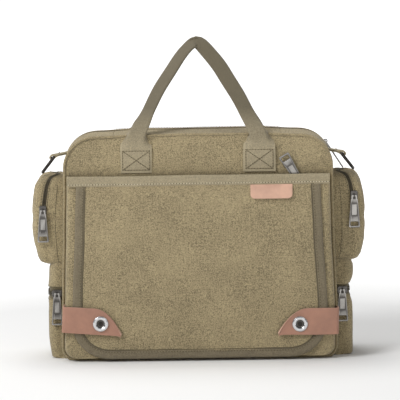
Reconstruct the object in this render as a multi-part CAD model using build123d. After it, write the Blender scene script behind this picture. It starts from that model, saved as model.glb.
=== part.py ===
"""Canvas messenger bag with a snapped front flap, zipped side pockets and two webbing handles.

Millimetres, +Z up, the front faces -Y and the origin is the middle of the footprint on the floor.
Every sub-part is written to parts/NODE.step. Right-hand parts are built and the left ones mirrored.
"""
from build123d import *
import math
import os

os.makedirs("parts", exist_ok=True)

# ---- driving dimensions ----
BODY_H = 268.0              # height of the main body
HALF_BASE = 163.0           # half width at the floor
HALF_TOP = 157.0            # half width at the top
TOP_R = 38.0                # upper corners
BASE_R = 16.0               # lower corners
FRONT = -44.0               # outer face of the main front panel
BACK = 60.5                 # outer face of the back panel
PANEL = 3.0                 # canvas with its foam
GUSSET = 2.5                # side, base and top strips
SEAM_GAP = 0.3              # between pieces on different bodies
PIPING_OUT = 2.2            # the piping stands this far out of the outline
MID = (FRONT + BACK) / 2    # plane of the main zipper
MOUTH_HALF = 100.0          # half length of the top opening
TAPE_HALF = 12.0            # half width of the main zipper tape
TAPE = 1.2                  # thickness of a zipper tape
TAPE_INSET = 0.8            # tapes lie this far under the canvas face
CHAIN_HALF = 2.2            # half width of a zipper chain
CHAIN = 1.0                 # how far a chain stands above its tape
MAIN_ZIP_END_Z = 243.0      # where the main zipper ends on the sides
MAIN_SLIDER_DEG = 36.0      # parking place of the main slider on the right corner arc
MAIN_PULL_DEG = 33.0        # its pull leans on the side, this far from hanging straight down

LINING = 0.8                # thickness of the inner bag
LINING_GAP = 0.1            # between the inner bag and the walls
DIVIDER_Y = 36.0            # middle of the padded laptop wall
DIVIDER_T = 6.0
DIVIDER_TOP = 205.0
BOARD_HALF_L = 145.0        # half length of the stiff base board
BOARD_T = 2.5
BOARD_MARGIN = 4.0          # from the panels' inner faces
BOARD_R = 8.0

POCKET_DEPTH = 14.0         # front pocket, from the main panel outwards
POCKET_WALL = 2.5
POCKET_R = 14.0             # its lower corners
POCKET_TOP = 221.0
POCKET_FLOOR = 4.0
FRONT_ZIP_Z = 203.0         # front pocket zipper, behind the band
BAND_H = 10.5
FLAP = 3.0
FLAP_TOP = 210.2
FLAP_BOTTOM = 4.5
FLAP_HALF_TOP = 146.0
FLAP_HALF_BASE = 152.0
FLAP_CORNER = 46.0
BINDING_W = 9.0
BINDING = 1.2

LABEL_Z = 192.5             # lower edge of the leather label
LABEL_R = 5.0
LABEL_T = 2.0
TAB_L = 70.0                # leather corner tab, from its seam to its tip
TAB_H = 31.0
TAB_T = 2.0
TAB_FLOOR = {"left": 37.0, "right": 30.5}
TAB_X = 164.0               # seam of the tab
TAB_TILT = {"left": 4.0, "right": 0.0}   # the left tab is sewn on sloping down to its tip
SNAP_U = 45.5               # snap centre, from the tab's seam
SNAP_V = 13.0               # and above the tab's lower edge

STRAP_W = 38.0              # handle webbing
STRAP_T = 2.5
PATCH_X = 73.0              # centre of each sewn handle end
PATCH_Z = 224.0
HANDLE_Z = 272.0            # where the loops start to turn, above the top seam
HANDLE_OUT = 4.5            # and how far outside the panel
NECK_TOP = 266.0
HANDLE_APEX_Z = 386.0
HANDLE_GAP = 6.0            # each loop's apex stands this far from the middle plane
GRIP_T = 5.0                # the webbing is folded double in the loops
GRIP_W = 14.0               # width of the fold at the apex

SIDE_FRONT = -28.0          # side pockets, front face
SIDE_BACK = 48.0
UPPER_LOW, UPPER_HIGH = 114.0, 220.0
UPPER_OUT = 201.0
UPPER_ZIP_X = 186.0
UPPER_TAPE = 3.0            # one half of its zipper, as wide as it shows
UPPER_SEAM_Z = 168.0        # cross seam, and the hinge of the upper pocket's lid
UPPER_SLIDER_Z = {"left": 179.0, "right": 192.0}
LOWER_OUT = 181.0
LOWER_LOW, LOWER_HIGH = 2.0, 112.0
LOWER_ZIP_Z = 79.0
LOWER_R = 10.0
SIDE_TAPE_HALF = 6.0
SIDE_WALL = 2.0

LOOP_Y = -14.0              # ring loops, forward of the main zipper
LOOP_W = 20.0
RING_WIRE = 1.4
RING_BAR = (172.0, 242.0)   # X and Z of a ring's straight bar
RING_DROP = 23.0
RING_DEG = -52.0            # a ring rests on the pocket below its loop

PULL_L = 38.0
SLIDER_L, SLIDER_W, SLIDER_T = 12.0, 8.6, 2.6
LIFT = 1.7                  # from a pull's bar to its slider
FRONT_LIFT = 2.6            # the front one has a longer bail
RIDE_GAP = 0.25             # under a slider


def side_x(z):
    """Half width of the body at a height."""
    return HALF_BASE + (HALF_TOP - HALF_BASE) * z / BODY_H


def plate(sketch, y0, y1):
    """A sketch drawn in X and Z, as a solid from y0 to y1."""
    return extrude(Plane.XZ.offset(-y1) * sketch, amount=y1 - y0, dir=(0, -1, 0))


def block(x0, x1, y0, y1, z0, z1):
    return Pos((x0 + x1) / 2, (y0 + y1) / 2, (z0 + z1) / 2) * Box(x1 - x0, y1 - y0, z1 - z0)


def mirrored(shape):
    return mirror(shape, Plane.YZ)


def group(*shapes):
    """Several separate solids as one node."""
    return Compound([s for shape in shapes for s in shape.solids()])


def rounded_outline(half_low, half_high, low, high, r_low, r_high):
    """A trapezium in X and Z with its own radius at the bottom and at the top."""
    corners = [(-half_low, low), (half_low, low), (half_high, high), (-half_high, high)]
    sketch = Sketch() + Polygon(*corners, align=None)
    levels = sketch.vertices().group_by(Axis.Y)
    if r_high:
        sketch = fillet(levels[-1], r_high)
    if r_low:
        sketch = fillet(sketch.vertices().group_by(Axis.Y)[0], r_low)
    return sketch


BODY = rounded_outline(HALF_BASE, HALF_TOP, 0, BODY_H, BASE_R, TOP_R)
FAR = 400.0


# ---- main body ----
def main_panel(y0):
    return plate(BODY, y0, y0 + PANEL)


def gusset_ring():
    ring = BODY - offset(BODY, amount=-GUSSET)
    return plate(ring, FRONT + PANEL, BACK - PANEL)


def zip_slot():
    """The space that the main zipper takes in the gusset, from one end to the other."""
    return block(-FAR, FAR, MID - TAPE_HALF, MID + TAPE_HALF, MAIN_ZIP_END_Z, FAR)


def base_cut():
    return block(-HALF_BASE + BASE_R, HALF_BASE - BASE_R, -FAR, FAR, -5, 10)


def base_panel():
    return gusset_ring() & base_cut()


def right_gusset():
    side = gusset_ring() & block(MOUTH_HALF, FAR, -FAR, FAR, -5, FAR)
    return side - base_cut() - zip_slot()


def top_half(front):
    """One side of the zipped top: it hinges at its seam with the front or the back panel."""
    y0, y1 = FRONT + PANEL + SEAM_GAP, MID - TAPE_HALF
    if not front:
        y0, y1 = MID + TAPE_HALF, BACK - PANEL - SEAM_GAP
    half = MOUTH_HALF - SEAM_GAP
    return block(-half, half, y0, y1, BODY_H - GUSSET, BODY_H)


def tape_rings():
    """The body outline as a thin tape ring and a chain ring on it."""
    inner = offset(BODY, amount=-TAPE_INSET)
    tape = inner - offset(inner, amount=-TAPE)
    chain = offset(inner, amount=CHAIN) - inner
    return tape, chain


def main_zip_half(front):
    tape, chain = tape_rings()
    gap = SEAM_GAP / 2
    y0, y1, c0, c1 = MID - TAPE_HALF, MID - gap, MID - CHAIN_HALF, MID - gap
    if not front:
        y0, y1, c0, c1 = MID + gap, MID + TAPE_HALF, MID + gap, MID + CHAIN_HALF
    strip = plate(tape, y0, y1) + plate(chain, c0, c1)
    half = MOUTH_HALF - SEAM_GAP
    return strip & block(-half, half, -FAR, FAR, BODY_H - 20, FAR)


def main_zip_ends():
    """The closed ends of the main zipper, over both upper corners."""
    tape, chain = tape_rings()
    strip = plate(tape, MID - TAPE_HALF, MID + TAPE_HALF)
    strip = strip + plate(chain, MID - CHAIN_HALF, MID + CHAIN_HALF)
    end = strip & block(MOUTH_HALF, FAR, -FAR, FAR, MAIN_ZIP_END_Z, FAR)
    return group(end, mirrored(end))


def piping(y0, y1):
    """Covered cord round the edge of a main panel."""
    cord = plate(offset(BODY, amount=PIPING_OUT) - BODY, y0, y1)
    return cord & block(-FAR, FAR, -FAR, FAR, 0, FAR)


def lining():
    """Thin inner bag, open at the top."""
    room = offset(BODY, amount=-(GUSSET + LINING_GAP))
    y0, y1 = FRONT + PANEL + LINING_GAP, BACK - PANEL - LINING_GAP
    bag = plate(room, y0, y1) - plate(offset(room, amount=-LINING), y0 + LINING, y1 - LINING)
    return bag - block(-MOUTH_HALF, MOUTH_HALF, -FAR, FAR, BODY_H - 20, FAR) - base_board_space()


BOARD_LOW = GUSSET + LINING_GAP
BOARD_HIGH = BOARD_LOW + BOARD_T


def base_slab(margin, half, z0, z1):
    """Flat piece in the bottom of the bag, the given margin inside the panels."""
    return block(-half, half, FRONT + PANEL + margin, BACK - PANEL - margin, z0, z1)


def base_board_space():
    """The board with 1 mm round it: the lining is open there."""
    return base_slab(BOARD_MARGIN - 1, BOARD_HALF_L + 1, 0, BOARD_HIGH + LINING_GAP)


def base_board():
    board = base_slab(BOARD_MARGIN, BOARD_HALF_L, BOARD_LOW, BOARD_HIGH)
    return fillet(board.edges().filter_by(Axis.Z), BOARD_R)


def laptop_divider():
    """Padded wall for a laptop, sewn to the lining at its sides."""
    room = offset(BODY, amount=-(GUSSET + LINING_GAP + LINING + 0.2))
    wall = plate(room, DIVIDER_Y - DIVIDER_T / 2, DIVIDER_Y + DIVIDER_T / 2)
    return wall & block(-FAR, FAR, -FAR, FAR, BOARD_HIGH + SEAM_GAP, DIVIDER_TOP)


# ---- front pocket and its zipper ----
POCKET_OUT = FRONT - POCKET_DEPTH
POCKET = rounded_outline(
    HALF_BASE - 1.5, side_x(POCKET_TOP) - 2.0, POCKET_FLOOR, POCKET_TOP, POCKET_R, 0)


def front_pocket_panel():
    return plate(POCKET, POCKET_OUT, POCKET_OUT + POCKET_WALL)


def front_pocket_gusset():
    ring = POCKET - offset(POCKET, amount=-POCKET_WALL)
    strip = plate(ring, POCKET_OUT + POCKET_WALL, FRONT)
    return strip - block(-FAR, FAR, -FAR, FAR, POCKET_TOP - POCKET_WALL - 1, FAR)


def front_pocket_band():
    half = side_x(POCKET_TOP) - 3.0
    return block(-half, half, POCKET_OUT - 1.6, POCKET_OUT, POCKET_TOP - BAND_H, POCKET_TOP + 0.5)


FRONT_ZIP_HALF = 148.0
FRONT_CHAIN_HALF = 144.0
FRONT_ZIP_Y = (POCKET_OUT + POCKET_WALL + FRONT) / 2


def front_zip():
    """Zipper lying across the mouth of the front pocket."""
    y0, face = POCKET_OUT + POCKET_WALL, FRONT_ZIP_Z + TAPE
    tape = block(-FRONT_ZIP_HALF, FRONT_ZIP_HALF, y0, FRONT, FRONT_ZIP_Z, face)
    c0, c1 = FRONT_ZIP_Y - CHAIN_HALF, FRONT_ZIP_Y + CHAIN_HALF
    chain = block(-FRONT_CHAIN_HALF, FRONT_CHAIN_HALF, c0, c1, face, face + CHAIN)
    return tape + chain


# ---- flap ----
FLAP_IN = POCKET_OUT - SEAM_GAP
FLAP_OUT = FLAP_IN - FLAP
FLAP_FACE = rounded_outline(FLAP_HALF_BASE, FLAP_HALF_TOP, FLAP_BOTTOM, FLAP_TOP, FLAP_CORNER, 0)


def flap_panel():
    return plate(FLAP_FACE, FLAP_OUT, FLAP_IN)


def flap_binding():
    ring = FLAP_FACE - offset(FLAP_FACE, amount=-BINDING_W)
    edge = plate(ring, FLAP_OUT - BINDING, FLAP_OUT)
    return edge - block(-FAR, FAR, -FAR, FAR, FLAP_TOP - BINDING_W - 1, FAR)


def leather_label():
    """Blank leather tag, sewn on the flap under the band."""
    top = FLAP_TOP - 3
    corners = [(62, LABEL_Z), (112, LABEL_Z), (111, top), (62.5, top)]
    tag = Sketch() + Polygon(*corners, align=None)
    tag = fillet(tag.vertices().group_by(Axis.Y)[0], LABEL_R)
    return plate(tag, FLAP_OUT - 0.1 - LABEL_T, FLAP_OUT - 0.1)


# ---- leather corner tabs and snaps ----
TAB_IN = FLAP_OUT - BINDING - 0.5
TAB_OUT = TAB_IN - TAB_T


def tab_place(side):
    """Turns a right-hand tab about the bottom of its seam."""
    return Pos(TAB_X, 0, TAB_FLOOR[side]) * Rot(0, -TAB_TILT[side], 0)


def sided(shape, side):
    return mirrored(shape) if side == "left" else shape


def tab_strap(side):
    outline = [
        Line((0, 0), (-TAB_L, 0)),
        Spline([(-TAB_L, 0), (-61, 15.5), (-50, 26.5), (-36, TAB_H)], tangents=[(0.5, 1), (1, 0.08)]),
        Line((-36, TAB_H), (0, TAB_H)),
        Line((0, TAB_H), (0, 0)),
    ]
    strap = plate(make_face(Wire(outline)), TAB_OUT, TAB_IN)
    hole = Pos(-SNAP_U, 0, SNAP_V) * Rot(90, 0, 0) * Cylinder(4.2, 300)
    return sided(tab_place(side) * (strap - hole), side)


def turned(profile, side):
    """A ring turned about the snap's axis, from points given as radius and Y."""
    face = make_face(Polyline(*profile, close=True))
    ring = revolve(face, Axis.Y)
    return sided(tab_place(side) * Pos(-SNAP_U, 0, SNAP_V) * ring, side)


def tab_snap(side):
    """Hollow cap on the outside of the tab and the socket eyelet that clamps it from behind."""
    y = TAB_OUT
    cap = [
        (3.9, y - 0.05), (9.2, y - 0.05), (9.5, y - 0.7), (8.9, y - 1.7), (7.6, y - 2.3),
        (6.0, y - 2.3), (4.9, y - 1.7), (4.4, y - 0.8), (3.9, y - 0.6),
    ]
    eyelet = [
        (3.4, TAB_IN + 0.4), (6.0, TAB_IN + 0.4), (6.0, TAB_IN),
        (3.85, TAB_IN), (3.85, y - 0.6), (3.4, y - 0.6),
    ]
    return group(turned(cap, side), turned(eyelet, side))


def snap_stud(side):
    """Stud on the flap, a plate with a bulbed post that the socket holds."""
    plate_y, end = FLAP_OUT - 0.7, TAB_OUT - 0.2
    stud = [
        (0, FLAP_OUT), (6.0, FLAP_OUT), (6.0, plate_y), (2.4, plate_y),
        (2.4, end + 1.6), (3.0, end + 1.0), (2.4, end), (0, end),
    ]
    return turned(stud, side)


# ---- handles ----
def patches(face_y, outward):
    """Sewn ends of one handle, flat on the panel, then folding narrower up to the top seam."""
    y0, y1 = sorted((face_y, face_y + outward * STRAP_T))
    shoulder = HANDLE_Z - 20
    half = STRAP_W / 2
    lower = block(PATCH_X - half, PATCH_X + half, y0, y1, PATCH_Z, shoulder)
    neck = Polygon((PATCH_X - half, shoulder), (PATCH_X + half, shoulder), (PATCH_X + 9, NECK_TOP),
                   (PATCH_X - 14, NECK_TOP), align=None)
    n0, n1 = sorted((face_y + outward * 1.3, face_y + outward * (1.3 + STRAP_T)))
    end = lower + plate(Sketch() + neck, n0, n1)
    return group(end, mirrored(end))


def handle_loop(face_y, outward):
    """Folded webbing loop, standing up and leaning in over the bag to meet the other one."""
    hinge_y = face_y + outward * HANDLE_OUT
    inward = MID + outward * HANDLE_GAP - hinge_y
    rise = math.hypot(HANDLE_APEX_Z - HANDLE_Z, inward)
    low_out, low_in, under = (-79, 0), (-62, 0), rise - GRIP_W
    outer = ThreePointArc(low_out, (-47.5, 64), (0, rise))
    inner = ThreePointArc((0, under), (-34.5, 64), low_in)
    half = Wire([outer, Line((0, rise), (0, under)), inner, Line(low_in, low_out)])
    face = Sketch() + make_face(half)
    loop = plate(face + mirror(face, Plane.YZ), -GRIP_T / 2, GRIP_T / 2)
    lean = math.degrees(math.asin(inward / rise))
    return Pos(0, hinge_y, HANDLE_Z) * Rot(-lean, 0, 0) * loop


# ---- side pockets (right hand) ----
IN_BODY = 150.0             # the pockets are drawn from here and cut off at the body's side
def upper_profile(grow):
    """Front view of the upper pocket, drawn in X and Z and grown or shrunk."""
    rounded = [(192.5, UPPER_LOW, 5), (UPPER_OUT, 157, 60), (197, 196, 30), (187, UPPER_HIGH, 12)]
    corners = [(x, z) for x, z, radius in rounded]
    corners = [(IN_BODY, UPPER_LOW), *corners, (IN_BODY, UPPER_HIGH)]
    face = Sketch() + Polygon(*corners, align=None)
    for x, z, radius in rounded:
        face = fillet([v for v in face.vertices() if abs(v.X - x) < 0.01], radius)
    return offset(face, amount=grow) if grow else face


def beside_body(shape):
    """Keeps what lies outside the body's tapered side."""
    low, high = -60, BODY_H + 60
    body = rounded_outline(side_x(low) + 0.1, side_x(high) + 0.1, low, high, 0, 0)
    return shape - plate(body, -FAR, FAR)


def upper_shell():
    """Canvas box of the upper pocket, with a back wall against the body."""
    outer = plate(upper_profile(0), SIDE_FRONT, SIDE_BACK)
    inner = plate(upper_profile(-SIDE_WALL), SIDE_FRONT + SIDE_WALL, SIDE_BACK - SIDE_WALL)
    inner = inner - block(0, 164.5, -FAR, FAR, 0, FAR)
    return beside_body(outer - inner)


UPPER_SHELL = upper_shell()


def slab(x0, x1, z0, z1):
    return block(x0, x1, -FAR, FAR, z0, z1)


def upper_pocket():
    split = UPPER_ZIP_X - UPPER_TAPE
    kept = slab(100, split, 0, FAR) + slab(split, FAR, 0, UPPER_SEAM_Z - SEAM_GAP)
    return UPPER_SHELL & kept


def upper_lid():
    return UPPER_SHELL & slab(UPPER_ZIP_X + UPPER_TAPE, FAR, UPPER_SEAM_Z, FAR)


def upper_zip(x0, x1):
    return UPPER_SHELL & slab(x0, x1, UPPER_SEAM_Z, FAR)


BACK_WALL_X = 166.5         # inner face of the lower pocket's back wall


def lower_box(shrink, z0, z1):
    """Box with rounded outer corners, the given amount inside the pocket's faces."""
    x1, y0, y1 = LOWER_OUT - shrink, SIDE_FRONT + shrink, SIDE_BACK - shrink
    box = block(IN_BODY, x1, y0, y1, z0, z1)
    corners = [e for e in box.edges().filter_by(Axis.Z) if e.center().X > 170]
    return fillet(corners, LOWER_R - shrink)


def lower_pocket():
    """Open tub below the zipper."""
    top = LOWER_ZIP_Z - SIDE_TAPE_HALF
    room = lower_box(SIDE_WALL, LOWER_LOW + SIDE_WALL, top + 1) & slab(BACK_WALL_X, FAR, 0, FAR)
    return beside_body(lower_box(0, LOWER_LOW, top) - room)


def lower_pocket_top():
    """Canvas cover above the zipper."""
    low = LOWER_ZIP_Z + SIDE_TAPE_HALF
    room = lower_box(SIDE_WALL, low - 1, LOWER_HIGH - SIDE_WALL) & slab(BACK_WALL_X, FAR, 0, FAR)
    return beside_body(lower_box(0, low, LOWER_HIGH) - room)


def lower_zip():
    z0, z1 = LOWER_ZIP_Z - SIDE_TAPE_HALF, LOWER_ZIP_Z + SIDE_TAPE_HALF
    tape = lower_box(0.8, z0, z1) - lower_box(0.8 + TAPE, z0, z1)
    c0, c1 = LOWER_ZIP_Z - CHAIN_HALF, LOWER_ZIP_Z + CHAIN_HALF
    chain = lower_box(0, c0, c1) - lower_box(0.8, c0, c1)
    return beside_body(tape + chain)


# ---- ring loops and rings (right hand) ----
def ring_loop():
    """Doubled webbing round the ring's bar, sewn into the side."""
    bx, bz = RING_BAR
    tongue = block(-20, 0, LOOP_Y - LOOP_W / 2, LOOP_Y + LOOP_W / 2, -3.9, 3.9)
    nose = Pos(0, LOOP_Y, 0) * Rot(90, 0, 0) * Cylinder(3.9, LOOP_W)
    bore = Pos(0, LOOP_Y, 0) * Rot(90, 0, 0) * Cylinder(RING_WIRE + 0.06, LOOP_W + 2)
    loop = Pos(bx, 0, bz) * Rot(0, -12, 0) * (tongue + nose - bore)
    corner = plate(offset(BODY, amount=0.1), -FAR, FAR)
    return loop - corner


def d_ring():
    """Bent wire: a straight bar in the loop and a bow that the strap hook takes."""
    half = LOOP_W / 2 + 2.2
    leg = RING_DROP - half
    bar = Rot(90, 0, 0) * Cylinder(RING_WIRE, 2 * half)
    bow = Torus(half, RING_WIRE) & block(0, FAR, -FAR, FAR, -FAR, FAR)
    ring = bar + Pos(leg, 0, 0) * bow
    for y in (-half, half):
        ring = ring + Pos(0, y, 0) * Sphere(RING_WIRE)
        ring = ring + Pos(leg / 2, y, 0) * Rot(0, 90, 0) * Cylinder(RING_WIRE, leg)
    bx, bz = RING_BAR
    return Pos(bx, LOOP_Y, bz) * Rot(0, -RING_DEG, 0) * ring


# ---- zipper sliders and pulls ----
def pull():
    """Pull tab hanging down from a cross bar on the origin, its face to -Y."""
    eye = 5.0
    body = [(-4.2, -eye + 1), (4.2, -eye + 1), (6.9, -PULL_L), (-6.9, -PULL_L)]
    face = Sketch() + Polygon(*body, align=None)
    face = fillet(face.vertices().group_by(Axis.Y)[0], 1.6)
    head = Sketch() + Pos(0, -2.0) * Rectangle(6.4, 5.6)
    head = fillet(head.vertices().group_by(Axis.Y)[-1], 1.2)
    window = Pos(0, -PULL_L + 4.6) * RectangleRounded(9.2, 5.0, 0.8)
    slot = Pos(0, -2.55) * Rectangle(3.4, 3.3)
    tab = plate(face + head - window - slot, -0.9, 0.9)
    rim = [e for e in tab.edges().filter_by(Plane.XZ) if e.center().Z < -eye]
    tab = chamfer(rim, 0.35)
    recess = Pos(0, -16.5) * RectangleRounded(7.4, 17, 0.8)
    pad = Pos(0, -16.5) * RectangleRounded(5.6, 12.5, 0.6)
    tab = tab - plate(Sketch() + recess, -2, -0.55)
    return tab + plate(Sketch() + pad, -0.95, -0.5)


def deck(lift, along_x=False):
    """Slider body, behind the pull's bar by the given lift."""
    w, l = (SLIDER_L, SLIDER_W) if along_x else (SLIDER_W, SLIDER_L)
    body = plate(Sketch() + RectangleRounded(w, l, 2.2), lift, lift + SLIDER_T)
    rim = [e for e in body.edges().filter_by(Plane.XZ) if e.center().Y < lift + 0.1]
    return fillet(rim, 0.7)


def bail(lift):
    """Wire eye that holds the pull's bar."""
    return Rot(0, 90, 0) * Torus(lift + 0.4, 0.62)


def slider(along_x=False):
    return deck(LIFT, along_x) + bail(LIFT)


def on_front(x, y, z):
    """Place for a slider and its pull on a face that looks to -Y at the given y."""
    return Pos(x, y - LIFT - SLIDER_T - RIDE_GAP, z)


FRONT_SLIDER_X = 121.0
FRONT_PULL_DEG = 149.0      # the front pocket's pull stands up out of the pocket, leaning left


def front_slider_place():
    deck_top = FRONT_ZIP_Z + TAPE + CHAIN + RIDE_GAP + SLIDER_T
    return Pos(FRONT_SLIDER_X, FRONT_ZIP_Y, deck_top + FRONT_LIFT)


def front_slider():
    """Deck lying on the zipper, and a bail turned to the pull's own direction."""
    body = Rot(-90, 0, 0) * deck(FRONT_LIFT, along_x=True)
    return body + Rot(0, FRONT_PULL_DEG, 0) * bail(FRONT_LIFT)


def arc_centre():
    """Centre of the right upper corner's arc, in X and Z."""
    taper = math.atan2(HALF_BASE - HALF_TOP, BODY_H)
    z = BODY_H - TOP_R
    return side_x(z) - TOP_R / math.cos(taper), z


def main_slider_parts():
    """Slider and pull of the main zipper, on the right upper corner. The pull leans on the side."""
    arc_x, arc_z = arc_centre()
    radius = TOP_R - TAPE_INSET + CHAIN + RIDE_GAP + SLIDER_T + LIFT
    bail = Pos(arc_x, MID, arc_z) * Rot(0, -MAIN_SLIDER_DEG, 0) * Pos(radius, 0, 0)
    upright = Rot(0, MAIN_SLIDER_DEG - MAIN_PULL_DEG, 0)
    return bail * Rot(0, 0, 90) * slider(), bail * upright * Rot(0, 0, 90) * pull()


PARTS = {
    "main_front_panel": main_panel(FRONT),
    "back_panel": main_panel(BACK - PANEL),
    "base_panel": base_panel(),
    "right_gusset": right_gusset(),
    "left_gusset": mirrored(right_gusset()),
    "top_panel_front": top_half(True),
    "top_panel_back": top_half(False),
    "main_zip_front": main_zip_half(True),
    "main_zip_back": main_zip_half(False),
    "main_zip_ends": main_zip_ends(),
    "front_piping": piping(FRONT - 1.0, FRONT + 2.5),
    "back_piping": piping(BACK - 2.5, BACK + 1.0),
    "lining": lining(),
    "base_board": base_board(),
    "laptop_divider": laptop_divider(),
    "front_pocket_panel": front_pocket_panel(),
    "front_pocket_gusset": front_pocket_gusset(),
    "front_pocket_band": front_pocket_band(),
    "front_zip": front_zip(),
    "flap_panel": flap_panel(),
    "flap_binding": flap_binding(),
    "leather_label": leather_label(),
    "snap_studs": group(snap_stud("left"), snap_stud("right")),
    "front_handle_ends": patches(FRONT, -1),
    "back_handle_ends": patches(BACK, 1),
    "front_handle": handle_loop(FRONT, -1),
    "back_handle": handle_loop(BACK, 1),
    "lower_zips": group(lower_zip(), mirrored(lower_zip())),
    "ring_loops": group(ring_loop(), mirrored(ring_loop())),
}
for side in ("left", "right"):
    PARTS[f"{side}_tab"] = tab_strap(side)
    PARTS[f"{side}_tab_snap"] = tab_snap(side)
    PARTS[f"{side}_upper_pocket"] = sided(upper_pocket(), side)
    PARTS[f"{side}_upper_lid"] = sided(upper_lid(), side)
    inner_half = upper_zip(UPPER_ZIP_X - UPPER_TAPE, UPPER_ZIP_X - SEAM_GAP / 2)
    outer_half = upper_zip(UPPER_ZIP_X + SEAM_GAP / 2, UPPER_ZIP_X + UPPER_TAPE)
    PARTS[f"{side}_upper_zip_inner"] = sided(inner_half, side)
    PARTS[f"{side}_upper_zip_outer"] = sided(outer_half, side)
    PARTS[f"{side}_lower_pocket"] = sided(lower_pocket(), side)
    PARTS[f"{side}_lower_cover"] = sided(lower_pocket_top(), side)
    PARTS[f"{side}_ring"] = sided(d_ring(), side)
    upper = on_front(UPPER_ZIP_X, SIDE_FRONT, UPPER_SLIDER_Z[side])
    PARTS[f"{side}_upper_slider"] = sided(upper * slider(), side)
    PARTS[f"{side}_upper_pull"] = sided(upper * pull(), side)
    lower = on_front(LOWER_OUT - LOWER_R, SIDE_FRONT, LOWER_ZIP_Z)
    PARTS[f"{side}_lower_slider"] = sided(lower * slider(along_x=True), side)
    PARTS[f"{side}_lower_pull"] = sided(lower * pull(), side)

front_place = front_slider_place()
PARTS["front_slider"] = front_place * front_slider()
PARTS["front_pull"] = front_place * Rot(0, FRONT_PULL_DEG, 0) * pull()
PARTS["main_slider"], PARTS["main_pull"] = main_slider_parts()

for name, shape in PARTS.items():
    solids = shape if isinstance(shape, Compound) else Compound(shape.solids())
    export_step(solids, f"parts/{name}.step")
print(len(PARTS), "nodes")
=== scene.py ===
"""Looks of a canvas messenger bag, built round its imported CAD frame.

Shapes are worked out in millimetres in the frame's own axes (+Z up, the front faces -Y) and become metres in
new_mesh(). Right-hand pieces are built and the left ones mirrored. Fabric is laid out as grids of points.
"""

import math

import bpy
import numpy as np
from mathutils import Matrix, Vector


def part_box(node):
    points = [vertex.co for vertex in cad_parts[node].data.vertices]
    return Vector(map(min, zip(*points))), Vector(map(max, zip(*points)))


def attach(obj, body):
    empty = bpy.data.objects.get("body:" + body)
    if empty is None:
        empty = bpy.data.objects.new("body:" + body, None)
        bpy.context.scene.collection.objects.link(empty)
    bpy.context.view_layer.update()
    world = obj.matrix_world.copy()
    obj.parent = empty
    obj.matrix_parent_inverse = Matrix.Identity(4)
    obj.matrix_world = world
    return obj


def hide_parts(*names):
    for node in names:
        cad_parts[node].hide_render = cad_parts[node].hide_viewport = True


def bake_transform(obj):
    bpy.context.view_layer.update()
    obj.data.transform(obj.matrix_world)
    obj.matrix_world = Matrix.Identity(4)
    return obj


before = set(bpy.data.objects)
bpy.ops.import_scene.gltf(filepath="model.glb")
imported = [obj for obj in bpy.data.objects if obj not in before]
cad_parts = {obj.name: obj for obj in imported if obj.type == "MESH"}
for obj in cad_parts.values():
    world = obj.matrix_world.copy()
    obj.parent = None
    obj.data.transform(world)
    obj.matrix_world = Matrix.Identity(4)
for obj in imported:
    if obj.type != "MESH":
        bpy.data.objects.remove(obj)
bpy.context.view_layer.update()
MM = 0.001
SIDES = {"left": -1, "right": 1}
QUARTER = math.pi / 2
CLOTH_UV = "cloth"          # UV layer of every fabric piece, in metres along the cloth
PANEL_T, GUSSET_T, POCKET_T, TAPE_T, LINING_T = 2.6, 2.2, 1.8, 0.9, 0.5     # thicknesses of the cloths


def limits(node):
    """A CAD node's lowest and highest corners, in millimetres."""
    low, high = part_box(node)
    return np.array(low) / MM, np.array(high) / MM


# ---- noise and shaping ----
def ease(t):
    t = np.clip(t, 0, 1)
    return t * t * (3 - 2 * t)


def lattice(i, j, k, seed):
    """A repeatable value from -1 to 1 at each whole-number point."""
    n = (i * 73856093) ^ (j * 19349663) ^ (k * 83492791) ^ (seed * 40503 + 977)
    n = (n ^ (n >> 13)) & 0xFFFFFF
    n = (n * (n * 15731 + 789221) + 1376312589) & 0xFFFFFF
    return n / 0x7FFFFF - 1


def noise(points, size, seed):
    """Smooth noise from -1 to 1 with features of that size."""
    p = np.asarray(points, float) / size + 1000.0
    base = np.floor(p).astype(np.int64)
    f = ease(p - base)
    total = 0
    for corner in np.ndindex(2, 2, 2):
        weight = np.prod(np.where(corner, f, 1 - f), axis=-1)
        total = total + weight * lattice(*np.moveaxis(base + corner, -1, 0), seed)
    return total


SAG = 1.1                   # how far the whole bag's cloth wanders from its drawn shape
FINE_SAG = 0.5
CORNER_DROOP = 2.0          # the upper corners hang a little


def relax(points):
    """Moves every layer of cloth by one smooth field: the bag looks soft and its layers stay together."""
    moved = np.array(points, float)
    fade = np.clip(moved[..., 2] / 25, 0, 1)
    for axis in range(3):
        strength = 0.5 if axis == 2 else 1.0
        wander = SAG * noise(points, 85.0, 11 + axis) + FINE_SAG * noise(points, 34.0, 21 + axis)
        moved[..., axis] += strength * fade * wander
    x, z = np.abs(moved[..., 0]), moved[..., 2]
    moved[..., 2] -= CORNER_DROOP * np.exp(-((x - 118) / 26) ** 2) * ease((z - 225) / 40)
    return moved


def pucker(points, distance, reach, depth, seed, size=9.0):
    """Gathers beside a seam: ripples that fade out over the reach."""
    ripple = noise(points, size, seed) + 0.6 * noise(points, size * 0.45, seed + 1)
    return depth * ripple * np.exp(-np.abs(distance) / reach)


# ---- outlines and paths ----
def together(*coordinates):
    """Points from their coordinates, each an array or one number for all."""
    return np.stack(np.broadcast_arrays(*coordinates), axis=-1)


def unit(vectors):
    return vectors / (np.linalg.norm(vectors, axis=-1, keepdims=True) + 1e-12)


def everywhere(direction, path):
    """The same direction for each point of a path."""
    return np.tile(np.array(direction, float), (len(path), 1))


def mirrored(grid, sign):
    """A right-hand grid on its own side of the bag, softened like the rest."""
    return relax(grid * np.array([sign, 1, 1]))


def lengths_along(path):
    steps = np.linalg.norm(np.diff(path, axis=0), axis=1)
    return np.concatenate([[0], np.cumsum(steps)])


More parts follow.
